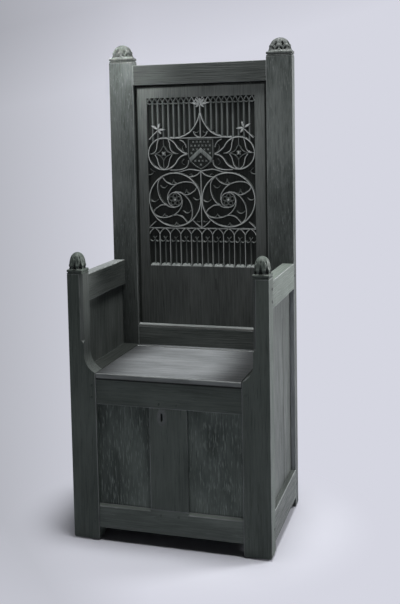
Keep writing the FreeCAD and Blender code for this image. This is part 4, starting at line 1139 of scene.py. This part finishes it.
    def sills(self) -> None:
        """Sloped sill at the foot of each bay, with low humps between the shafts and a gap to the next."""
        gap, drop, slope, swell, ripple, lift, back = 0.08, 6.0, 5.0, 2.0, 0.04, 1.0, 0.4
        for k in range(self.bays):
            bpy.ops.mesh.primitive_grid_add(x_subdivisions=18, y_subdivisions=5, size=1.0)
            sill = bpy.context.object
            for vertex in sill.data.vertices:
                along, out = vertex.co.x + 0.5, vertex.co.y + 0.5
                crown = (1 - abs(2 * along - 1) ** 3) * (1 - ripple - ripple * math.cos(4 * math.pi * along))
                x = -self.half_width + (k + gap + (1 - 2 * gap) * along) * self.bay
                z = self.sill + lift + (1 - out) * (slope + swell * crown) + swell * crown
                vertex.co = (x * MM, z * MM, out * (self.sunk - back) * MM)
            with editing(sill):
                bpy.ops.mesh.extrude_region_move(TRANSFORM_OT_translate={"value": (0, -drop * MM, 0)})
            for vertex in sill.data.vertices:
                vertex.co.y = max(vertex.co.y, self.sill * MM)
            self.parts.append(sill)

    def board(self) -> Piece:
        """Plain board with the sunk field, and the tongue that stands in the frame's grooves.

        Returns:
            The board.
        """
        (foot, top), edge = self.plain_z, self.groove[0]
        board = block((-self.plain_half, self.face, foot), (self.plain_half, self.face + self.thick, top))
        board.name = f"{self.node}_oak"
        reach = (box_of(self.node)[1].x - self.plain_half) * MM
        (left, right), (low, high) = self.crack
        with editing(board):
            for x in (self.half_width, self.plain_half - edge):
                cut(Axis.ACROSS, -x)
                cut(Axis.ACROSS, x)
            for x in (left, right):
                cut(Axis.ACROSS, x)
            for z in (self.sill, self.head, top - edge, low, high):
                cut(Axis.UPRIGHT, z)
            pick(board, Element.FACE, self.in_field)
            bpy.ops.mesh.extrude_region_move(TRANSFORM_OT_translate={"value": (0, self.sunk * MM, 0)})
            for out in self.tongue:
                cut(Axis.DEEP, self.face + out)
            for way in (Vector((1, 0, 0)), Vector((-1, 0, 0)), Vector((0, 0, 1)), Vector((0, 0, -1))):
                pick(board, Element.FACE, lambda face: self.on_tongue(face, way))
                bpy.ops.mesh.extrude_region_move(TRANSFORM_OT_translate={"value": way * reach})
            pick(board, Element.VERT, self.on_rim)
            bpy.ops.transform.translate(value=(0, self.groove[1] * MM, 0))
        return board

    def in_field(self, face: bmesh.types.BMFace) -> bool:
        """Tell whether a face of the board is the one to sink."""
        x, _, z = face.calc_center_median() / MM
        return abs(x) < self.half_width and self.sill < z < self.head and face.normal.y < -self.flat

    def on_tongue(self, face: bmesh.types.BMFace, way: Vector) -> bool:
        """Tell whether a face is on the board's edge on one side, where the tongue grows.

        Args:
            face: Face of the board.
            way: Side of the board.

        Returns:
            True for the faces that grow.
        """
        x, y, z = face.calc_center_median() / MM
        edge = abs(x) > self.plain_half - 1 or not self.plain_z[0] + 1 < z < self.plain_z[1] - 1
        level = self.tongue[0] < y - self.face < self.tongue[1]
        return edge and level and face.normal.dot(way) > self.flat

    def on_rim(self, vertex: bmesh.types.BMVert) -> bool:
        """Tell whether a corner of the board's face is at its sides or top, where it slopes down."""
        x, y, z = vertex.co / MM
        return abs(y - self.face) < 0.1 and (abs(x) > self.plain_half - 1 or z > self.plain_z[1] - 1)

    def dress(self, panel: Piece) -> None:
        """Give each surface of the panel its finish.

        Args:
            panel: The board with its tracery.
        """
        panel.data.materials.clear()
        for finish in SURFACE_FINISHES:
            panel.data.materials.append(finish.material(Axis.UPRIGHT))
        for polygon in panel.data.polygons:
            polygon.material_index = self.surface_at(polygon.center / MM, polygon.normal)
        seed_timber(panel, self.seed)

    def surface_at(self, middle: Vector, normal: Vector) -> Surface:
        """Tell which surface of the panel a face is part of.

        Args:
            middle: Middle of the face in mm.
            normal: Direction that it faces.

        Returns:
            The surface.
        """
        depth, across = middle.y - self.face, abs(middle.x)
        faces_front = normal.y < -self.flat
        if across > self.half_width or not self.sill < middle.z < self.head or depth > self.sunk + 1:
            edge = self.groove[0]
            # Faces along the board's sides and top take the near-black finish as painted shade beside the
            # frame; the crack is a dark split.
            in_edge_shade = across > self.plain_half - edge or middle.z > self.plain_z[1] - edge
            (left, right), (low, high) = self.crack
            cracked = left < middle.x < right and low < middle.z < high
            return Surface.GROUND if (in_edge_shade or cracked) and normal.y < -self.sloped else Surface.BOARD
        on_shield = across < self.shield_half and self.shield_tip < middle.z < self.ogee_bar
        # The sunk ground and the shield's field take the near-black finish as painted shade.
        if depth > self.sunk - self.ground_skin or on_shield and depth > self.shield_depth and faces_front:
            return Surface.GROUND
        # Upward faces take the paler arris finish as a painted highlight, except low by the sill.
        if normal.z > self.ledge:
            return Surface.RIB if middle.z < self.sill + self.sunk else Surface.LEDGE
        # Side flanks take the darker panel finish as painted shade.
        if normal.y > -self.steep:
            return Surface.FLANK
        # Front rib tops near the face are rubbed pale with a painted highlight, except in the dim height
        # under the heads.
        below_dim_head = middle.z < self.shaft_head - self.dim_head or across < self.fleuron_half
        rubbed = depth < self.rubbed_and_lit_depth and below_dim_head
        return Surface.RIB_TOP if rubbed and faces_front else Surface.RIB


def hump(value: float, middle: float, width: float) -> float:
    """Height of a smooth hump at a value, 1 at its middle."""
    return math.exp(-((value - middle) / width) ** 2)


@dataclass
class LeafFinial:
    """Bud over a post's end: a moulded plinth and a dome wrapped in carved leaves.

    The mouldings give foot and head in shares of the plinth and width in shares of the finial's.
    """

    node: str
    plinth: float
    waist: float
    fullness: float
    flare: float
    seed: float
    slits: float = 0.36
    finish: OakFinish = FINIAL_OAK
    leaves: int = 8
    # Carving depth, as a share of the width, past which faces take painted shade.
    shade_depth: float = 0.09
    rings: int = 44
    sectors: int = 96
    corner: float = 3.2
    mouldings: tuple[Triple, ...] = ((0.0, 0.26, 0.95), (0.2, 0.5, 0.88), (0.42, 1.06, 0.97))
    round_over: float = 0.3
    skirt: float = 0.97
    blunt: float = 0.48
    gap: float = 0.05
    smooth: float = 50.0

    def build(self) -> Piece:
        """Raise rings from the plinth to the tip and carve the leaves into them.

        Returns:
            The finished finial.
        """
        low, high = box_of(self.node)
        centre, half = (low + high) / 2, (high - low) / 2
        base = box_of(self.node.replace("finial", "post"))[1].z
        start = base + self.plinth
        rise = high.z - start
        bpy.ops.mesh.primitive_grid_add(x_subdivisions=self.sectors, y_subdivisions=self.rings, size=1.0)
        bud = bpy.context.object
        bud.name = f"{self.node}_oak"
        carving = []
        for vertex in bud.data.vertices:
            turn = 2 * math.pi * (vertex.co.x + 0.5)
            level = math.sin((vertex.co.y + 0.5) * math.pi / 2)
            carving.append(self.relief(turn, level))
            square = self.corner - (self.corner - 2.0) * level
            norm = (abs(math.cos(turn)) ** square + abs(math.sin(turn)) ** square) ** (-1 / square)
            reach = self.profile(level) * (1 + carving[-1]) * norm
            vertex.co = (
                (centre.x + half.x * reach * math.cos(turn)) * MM,
                (centre.y + half.y * reach * math.sin(turn)) * MM,
                (start + rise * level) * MM,
            )
        for finish in (self.finish, GROUND_OAK):
            bud.data.materials.append(finish.material(Axis.UPRIGHT))
        # Painted shade: faces deep in the slits take the near-black finish.
        for face in bud.data.polygons:
            depth = sum(carving[corner] for corner in face.vertices) / len(face.vertices)
            face.material_index = int(depth < -self.shade_depth)
        slabs = [self.slab(centre, half, base, *moulding) for moulding in self.mouldings]
        weld(join([bud, *slabs]), self.gap, self.smooth)
        seed_timber(bud, self.seed)
        stand_for(bud, self.node)
        return bud

    def profile(self, level: float) -> float:
        """Share of the half width at a height of the bud, from 0 at the foot to 1 at the tip."""
        skirt = max(0.0, 1 - level / self.flare) ** 2 * (self.skirt - self.waist)
        return self.waist * max(0.0, 1 - level ** self.fullness) ** self.blunt + skirt

    def relief(self, turn: float, level: float) -> float:
        """Height of the leaf carving at a place on the bud: two tiers of ribbed leaves, with slits between.

        Args:
            turn: Angle about the bud.
            level: Height, from 0 at the foot to 1 at the tip.

        Returns:
            Height as a share of the width.
        """
        fade = min(1.0, 5 * (1 - level)) * min(1.0, level / 0.06)
        lower = abs(math.cos(self.leaves * turn / 2))
        upper = abs(math.sin(self.leaves * turn / 2))
        tier = 1 / (1 + math.exp((level - 0.36 - 0.16 * lower) * 40))
        ridge = tier * lower ** 0.6 + (1 - tier) * upper ** 0.6
        vein = hump(tier * upper + (1 - tier) * lower, 0.0, 0.12)
        aside = abs(self.leaves * turn / (2 * math.pi) % 1 - 0.5)
        low_slit = hump(aside - 0.7 * (level - 0.22), 0.25, 0.11) * hump(level, 0.22, 0.1)
        high_slit = hump(aside, 0.0, 0.12) * hump(level, 0.52, 0.17)
        lip = 0.07 * tier
        return fade * (0.12 * (ridge - 0.85) - 0.04 * vein - self.slits * (low_slit + high_slit) + lip)

    def slab(self, centre: Vector, half: Vector, base: float, foot: float, head: float, wide: float) -> Piece:
        """Make one moulding of the square plinth.

        Args:
            centre: Middle of the finial.
            half: Half its size.
            base: Height of the post's top.
            foot: Foot of the moulding, in shares of the plinth.
            head: Its head.
            wide: Its share of the finial's width.

        Returns:
            The moulding.
        """
        low, high = centre - wide * half, centre + wide * half
        low.z, high.z = base + foot * self.plinth, base + head * self.plinth
        slab = block(low, high)
        slab.data.materials.append(self.finish.material(Axis.UPRIGHT))
        with editing(slab):
            bpy.ops.mesh.bevel(offset=self.round_over * (high.z - low.z) * MM, segments=3, affect="EDGES")
        return slab


@dataclass
class BulletFinial(LeafFinial):
    """Plainer bud over a front post: broad petals laid on a bullet, with deep gaps between their feet."""

    finish: OakFinish = OAK

    def relief(self, turn: float, level: float) -> float:
        """Height of the carving at a place on the bud: petals with curled lips, folds and gaps.

        Args:
            turn: Angle about the bud.
            level: Height, from 0 at the foot to 1 at the tip.

        Returns:
            Height as a share of the width.
        """
        across = 2 * abs(self.leaves * turn / (2 * math.pi) % 1 - 0.5)
        gap = 0.08 + 0.6 * max(0.0, 1 - level / 0.62)
        hollow = min(1.0, max(0.0, (across - 1 + gap) / 0.14))
        curl = (1 - hollow) * hump(level, 0.24, 0.07)
        notch = hump(level, 0.08, 0.05)
        slit = hump(across, 1.0, 0.2) * hump(level, 0.7, 0.1)
        fold = hump(across, 0.0, 0.14) * hump(level, 0.5, 0.16)
        fade = min(1.0, 6 * (1 - level)) * min(1.0, level / 0.04)
        carved = 0.2 * hollow * max(0.15, 1 - level / 0.75) + 0.13 * slit + 0.1 * fold + 0.04 * notch
        return fade * (0.05 * curl - carved)


@dataclass(frozen=True)
class Lamp:
    """Square soft lamp that faces a point, in metres, watts and degrees."""

    name: str
    place: Triple
    target: Triple
    size: float
    power: float
    beam: float = 180.0

    def build(self) -> None:
        """Hang the lamp."""
        light = bpy.data.lights.new(self.name, "AREA")
        light.size = self.size
        light.energy = self.power
        light.spread = math.radians(self.beam)
        lamp = new_piece(self.name, light)
        lamp.location = self.place
        lamp.rotation_euler = (Vector(self.target) - lamp.location).to_track_quat("-Z", "Y").to_euler()


@dataclass(frozen=True)
class Studio:
    """Pale floor that fades into a pale backdrop, darker to the left and towards the top."""

    floor: str = "#a9aab2"
    left: str = "#a2a4aa"
    right: str = "#d5d6e1"
    span: Point = (-0.55, -0.33)
    ahead: Point = (0.25, 0.85)
    lifted: Point = (-2.0, 1.0)
    dusk: Point = (0.14, 0.22)
    dusk_way: Triple = (-0.25, 0.0, 1.0)
    dusk_level: float = 0.81
    reach: float = 30.0
    # Distances in m from the chair over which the floor turns into the glowing backdrop; this glow also lifts
    # the chair's side shadows.
    fade: Point = (0.31, 0.62)
    centre: Triple = (0.87, -2.9, 0.0)
    ambient: float = 0.05
    lamps: tuple[Lamp, ...] = (
        Lamp("overhead_lamp", (0.4, -0.2, 4.0), (0.0, -0.05, 0.6), 1.2, 225.0),
        Lamp("side_lamp", (3.3, 1.7, 1.5), (0.3, 0.0, 0.7), 1.0, 200.0),
        Lamp("front_lamp", (-0.5, -2.6, 2.4), (0.0, 0.2, 1.4), 0.6, 1.15, 40.0),
        Lamp("corner_lamp", (-1.0, -1.3, 3.0), (-0.33, 0.19, 1.64), 0.25, 1.15, 11.0),
    )

    def build(self) -> None:
        """Lay the floor and set the world and the lamps."""
        self.world()
        self.lay_floor()
        for lamp in self.lamps:
            lamp.build()

    def backdrop(self, tree: Tree, way: Socket, near: Socket | float) -> Socket:
        """Colour of the backdrop in a direction, darker to the left.

        Args:
            tree: Nodes of the material or the world.
            way: Direction from the photo's camera.
            near: How far the darker left is lifted to the tone of the right, 0 to 1.

        Returns:
            The colour.
        """
        split = add_node(tree, "SeparateXYZ", (way,))
        share = add_node(tree, "MapRange", (split["X"], *self.span))[0]
        aside = add_node(tree, "MapRange", (split["Y"], *self.ahead, 1.0, 0.0), **SMOOTH)[0]
        for lift in (aside, near):
            share = add_node(tree, "Math", (share, lift), operation="MAXIMUM")[0]
        return add_node(tree, "Mix", {0: share, 6: linear(self.left), 7: linear(self.right)}, **RGBA)[2]

    def world(self) -> None:
        """Pale where it is seen or mirrored, and a low even light elsewhere."""
        world = bpy.data.worlds.new("studio")
        bpy.context.scene.world = world
        world.use_nodes = True
        tree = world.node_tree
        tree.nodes.clear()
        way = add_node(tree, "TexCoord")["Generated"]
        rise = add_node(tree, "VectorMath", (way, self.dusk_way), operation="DOT_PRODUCT")["Value"]
        dusk = add_node(tree, "MapRange", (rise, *self.dusk, 1.0, self.dusk_level))[0]
        pale = add_node(tree, "Background", (self.backdrop(tree, way, 0.0), dusk))[0]
        dim = add_node(tree, "Background", (linear("#ffffff"), self.ambient))[0]
        path = add_node(tree, "LightPath")
        seen = path["Is Camera Ray"]
        for ray in ("Is Glossy Ray", "Is Transmission Ray"):
            seen = add_node(tree, "Math", (seen, path[ray]), operation="MAXIMUM")[0]
        mixed = add_node(tree, "MixShader", (seen, dim, pale))[0]
        add_node(tree, "OutputWorld", (mixed,))

    def lay_floor(self) -> None:
        """Floor that keeps the chair's shadow close under it and glows in the backdrop's colour a short way
        off, which also lifts the shadow beside the chair.
        """
        bpy.ops.mesh.primitive_plane_add(size=2 * self.reach)
        floor = bpy.context.object
        floor.name = "studio_floor"
        material = new_material("studio_paper")
        tree = material.node_tree
        place = add_node(tree, "TexCoord")["Object"]
        far = add_node(tree, "VectorMath", (place,), operation="LENGTH")["Value"]
        away = add_node(tree, "VectorMath", (place, self.centre), operation="SUBTRACT")[0]
        way = add_node(tree, "VectorMath", (away,), operation="NORMALIZE")[0]
        behind = add_node(tree, "SeparateXYZ", (place,))["Y"]
        lift = add_node(tree, "MapRange", (behind, *self.lifted, 1.0, 0.0), **SMOOTH)[0]
        share = add_node(tree, "MapRange", (far, *self.fade), **SMOOTH)[0]
        near = add_node(tree, "BsdfDiffuse", (linear(self.floor),))[0]
        glow = add_node(tree, "Emission", (self.backdrop(tree, way, lift), 1.0))[0]
        seen = add_node(tree, "LightPath")["Is Camera Ray"]
        shown = add_node(tree, "Math", (share, seen), operation="MULTIPLY")[0]
        mixed = add_node(tree, "MixShader", (shown, near, glow))[0]
        add_node(tree, "OutputMaterial", (mixed,))
        floor.data.materials.append(material)


@dataclass(frozen=True)
class PhotoCamera:
    """Camera that stands where the photographer's did, right of the chair's middle."""

    place: Triple = (869.2, -2896.7, 1296.0)
    yaw: float = -18.217
    pitch: float = -5.140
    roll: float = -1.247
    focal_pixels: float = 940.25
    axis_pixel: Point = (160.0, 213.75)
    picture: Point = (400.0, 604.0)
    sensor: float = 36.0

    def build(self) -> None:
        """Set the scene's camera."""
        data = bpy.data.cameras.new("photo_camera")
        long_side = max(self.picture)
        data.sensor_width = self.sensor
        data.lens = self.focal_pixels / long_side * self.sensor
        data.shift_x = (self.picture[0] / 2 - self.axis_pixel[0]) / long_side
        data.shift_y = (self.axis_pixel[1] - self.picture[1] / 2) / long_side
        camera = new_piece("photo_camera", data)
        camera.matrix_world = Matrix.Translation(Vector(self.place) * MM)
        for angle, axis in ((-self.yaw, "Z"), (90.0 + self.pitch, "X"), (self.roll, "Z")):
            camera.matrix_world @= Matrix.Rotation(math.radians(angle), 4, axis)
        bpy.context.scene.camera = camera


IRON_NODES = ("keyhole_escutcheon", "lid_staple", "lock_plate", "lock_case", "lock_bolt", "lock_nails",
              "hinge_pin_left", "hinge_pin_right")
PEG_NODES = ("front_frame_pegs", "back_frame_pegs", "side_pegs_left", "side_pegs_right")
# Finishes other than plain oak: the left arm's darker one is painted shade, the right arm's paler one painted
# light, and the seat's side boards get painted shade.
NODES_OF = {
    SEAT_OAK: (LID, "seat_back_board"),
    FLECK_OAK: ("front_panel_left", "front_panel_right"),
    PANEL_OAK: ("side_panel_left", "side_panel_right", "back_middle_rail", "side_bottom_rail_right"),
    DARK_AND_SHADED_OAK: ("arm_rail_left", "back_top_rail"),
    SCUFFED_AND_LIT_OAK: ("front_bottom_rail", "arm_rail_right"),
    SHADE_AND_JOINT_OAK: ("seat_side_board_left", "seat_side_board_right"),
    BACK_OAK: ("back_post_left", "back_post_right"),
    RAW_OAK: (*[f"floor_board_{number}" for number in range(1, 5)], "seat_bearer_left", "seat_bearer_right"),
}
FINISH_OF = {node: finish for finish, nodes in NODES_OF.items() for node in nodes}


def touches_of_timbers() -> dict[str, list[Touch]]:
    """Place the dark joints, cracks, rubbed edges, painted shade and painted highlights of the pieces.

    Returns:
        Touches of each node that has some.
    """
    ahead, up, sloped = (0.0, -1.0, 0.0), (0.0, 0.0, 1.0), (0.0, -1.0, 1.0)
    lid_low, lid_high = box_of(LID)
    panel_low, panel_high = box_of("side_panel_right")
    sill_low, sill_high = box_of("back_middle_rail")
    rail_front = box_of("front_top_rail")[0].y
    post_front = box_of("back_post_right")[0].y
    seam, skin = 3.0, 1.0
    wide, front, back, over_arms = lid_high.x + 100, lid_low.y - 5, lid_high.y + 50, 1000.0
    foot, top = lid_low.z, lid_high.z + skin
    crack_y, crack_top, lit_strip_z = (55.0, 66.0), 680.0, (135.0, 756.0)
    touches = {
        LID: [
            Touch(OAK_ARRIS, (-wide, front, foot), (wide, front + 10, lid_high.z), ahead),
            # Painted shadow along the lid's lower front edge.
            Touch(GROUND_OAK, (-wide, front, foot), (wide, lid_low.y + seam, foot + seam)),
            Touch(GROUND_OAK, (-wide, front, foot), (lid_low.x + seam, back, top)),
            Touch(GROUND_OAK, (lid_high.x - seam, front, foot), (wide, back, top)),
        ],
        # Painted shadow of the lid's lip along the rail's top edge.
        "front_top_rail": [Touch(GROUND_OAK, (-wide, front, foot - 1.5 * seam),
                                 (wide, rail_front + seam, foot + skin), scored=True)],
        "side_panel_right": [Touch(SHADE_AND_JOINT_OAK, (panel_high.x - skin, crack_y[0], panel_low.z),
                                   (panel_high.x + skin, crack_y[1], crack_top), scored=True)],
        # Painted light on the back post's shaded front face beside the side panel.
        "back_post_right": [Touch(LIT_RECESS_OAK, (panel_high.x + 0.7, post_front - skin, lit_strip_z[0]),
                                  (wide, post_front + skin, lit_strip_z[1]), ahead, scored=True)],
        # Painted shade on the lower half of the sill's chamfer, and a painted highlight on its upper half.
        "back_middle_rail": [
            Touch(SHADE_AND_JOINT_OAK, (-wide, sill_low.y - skin, sill_high.z - 11),
                  (wide, sill_low.y + 5, sill_high.z - 4.5), sloped, scored=True),
            Touch(OAK_ARRIS, (-wide, sill_low.y + 4, sill_high.z - 6),
                  (wide, sill_low.y + 12, sill_high.z + skin), sloped),
        ],
        # Painted highlight on the left arm's top, over its darker finish.
        "arm_rail_left": [Touch(
            OAK_ARRIS, (-wide, front - 100, lid_high.z), (0.0, back + 100, over_arms), up)],
    }
    for side, inward in zip(SIDES, (1.0, -1.0)):
        # Painted shade on the front posts' inner faces above the seat.
        touches[f"front_post_{side}"] = [Touch(
            PANEL_OAK, (-wide, front, lid_high.z - 10), (wide, back, over_arms), (inward, 0.0, 0.6))]
        touches[f"seat_side_board_{side}"] = [Touch(
            GROUND_OAK, (-lid_high.x - seam, front, foot), (lid_high.x + seam, back, top))]
    return touches


def dress_timbers(skip: set[str]) -> None:
    """Dress every oak board and post of the frame.

    Args:
        skip: Nodes that other pieces stand for or that are not timbers.
    """
    touches = touches_of_timbers()
    for number, node in enumerate(sorted(set(frame["nodes"]) - skip)):
        finish = FINISH_OF.get(node, OAK)
        timber = Timber(node, finish, Slot.DARK_OAK, SEED_STEP * (number + 1), touches.get(node, []))
        if node == LID:
            timber.slot = Slot.WORN_OAK
            timber.slim = LID_PLAY
        if finish is RAW_OAK:
            timber.slot = Slot.RAW_OAK
        if "post" in node:
            timber.worn_foot = FOOT_WEAR
        timber.build()


def dress_small_pieces() -> None:
    """Give pegs and ironwork their finishes on their own meshes."""
    looks = {node: IRON.material() for node in IRON_NODES}
    looks["keyhole_escutcheon"] = WORN_IRON.material()
    for node in PEG_NODES:
        looks[node] = (OAK if "frame" in node else PEG_OAK).material(Axis.UPRIGHT)
    for node, material in looks.items():
        mesh = frame["nodes"][node].data
        mesh.materials.clear()
        mesh.materials.append(material)
        LOG.info("%s has %s", node, material.name)


def main() -> None:
    """Build the chair's pieces in order, then the studio and the camera."""
    logging.basicConfig(level=logging.INFO, format="%(name)s: %(message)s")
    panel = CarvedPanel()
    front = {"plinth": 13.0, "waist": 0.88, "fullness": 3.6, "flare": 0.1, "seed": 41.0}
    back = {"plinth": 14.0, "waist": 0.79, "fullness": 2.7, "flare": 0.14, "seed": 53.0}
    finials = [BulletFinial(f"front_finial_{side}", **front) for side in SIDES]
    finials += [LeafFinial(f"back_finial_{side}", **back) for side in SIDES]
    for carving in (panel, *finials):
        carving.build()
    dress_timbers({panel.node, *IRON_NODES, *PEG_NODES, *[finial.node for finial in finials]})
    dress_small_pieces()
    Studio().build()
    PhotoCamera().build()
    bpy.context.scene.view_settings.view_transform = "Standard"


if __name__ == "__main__":
    main()
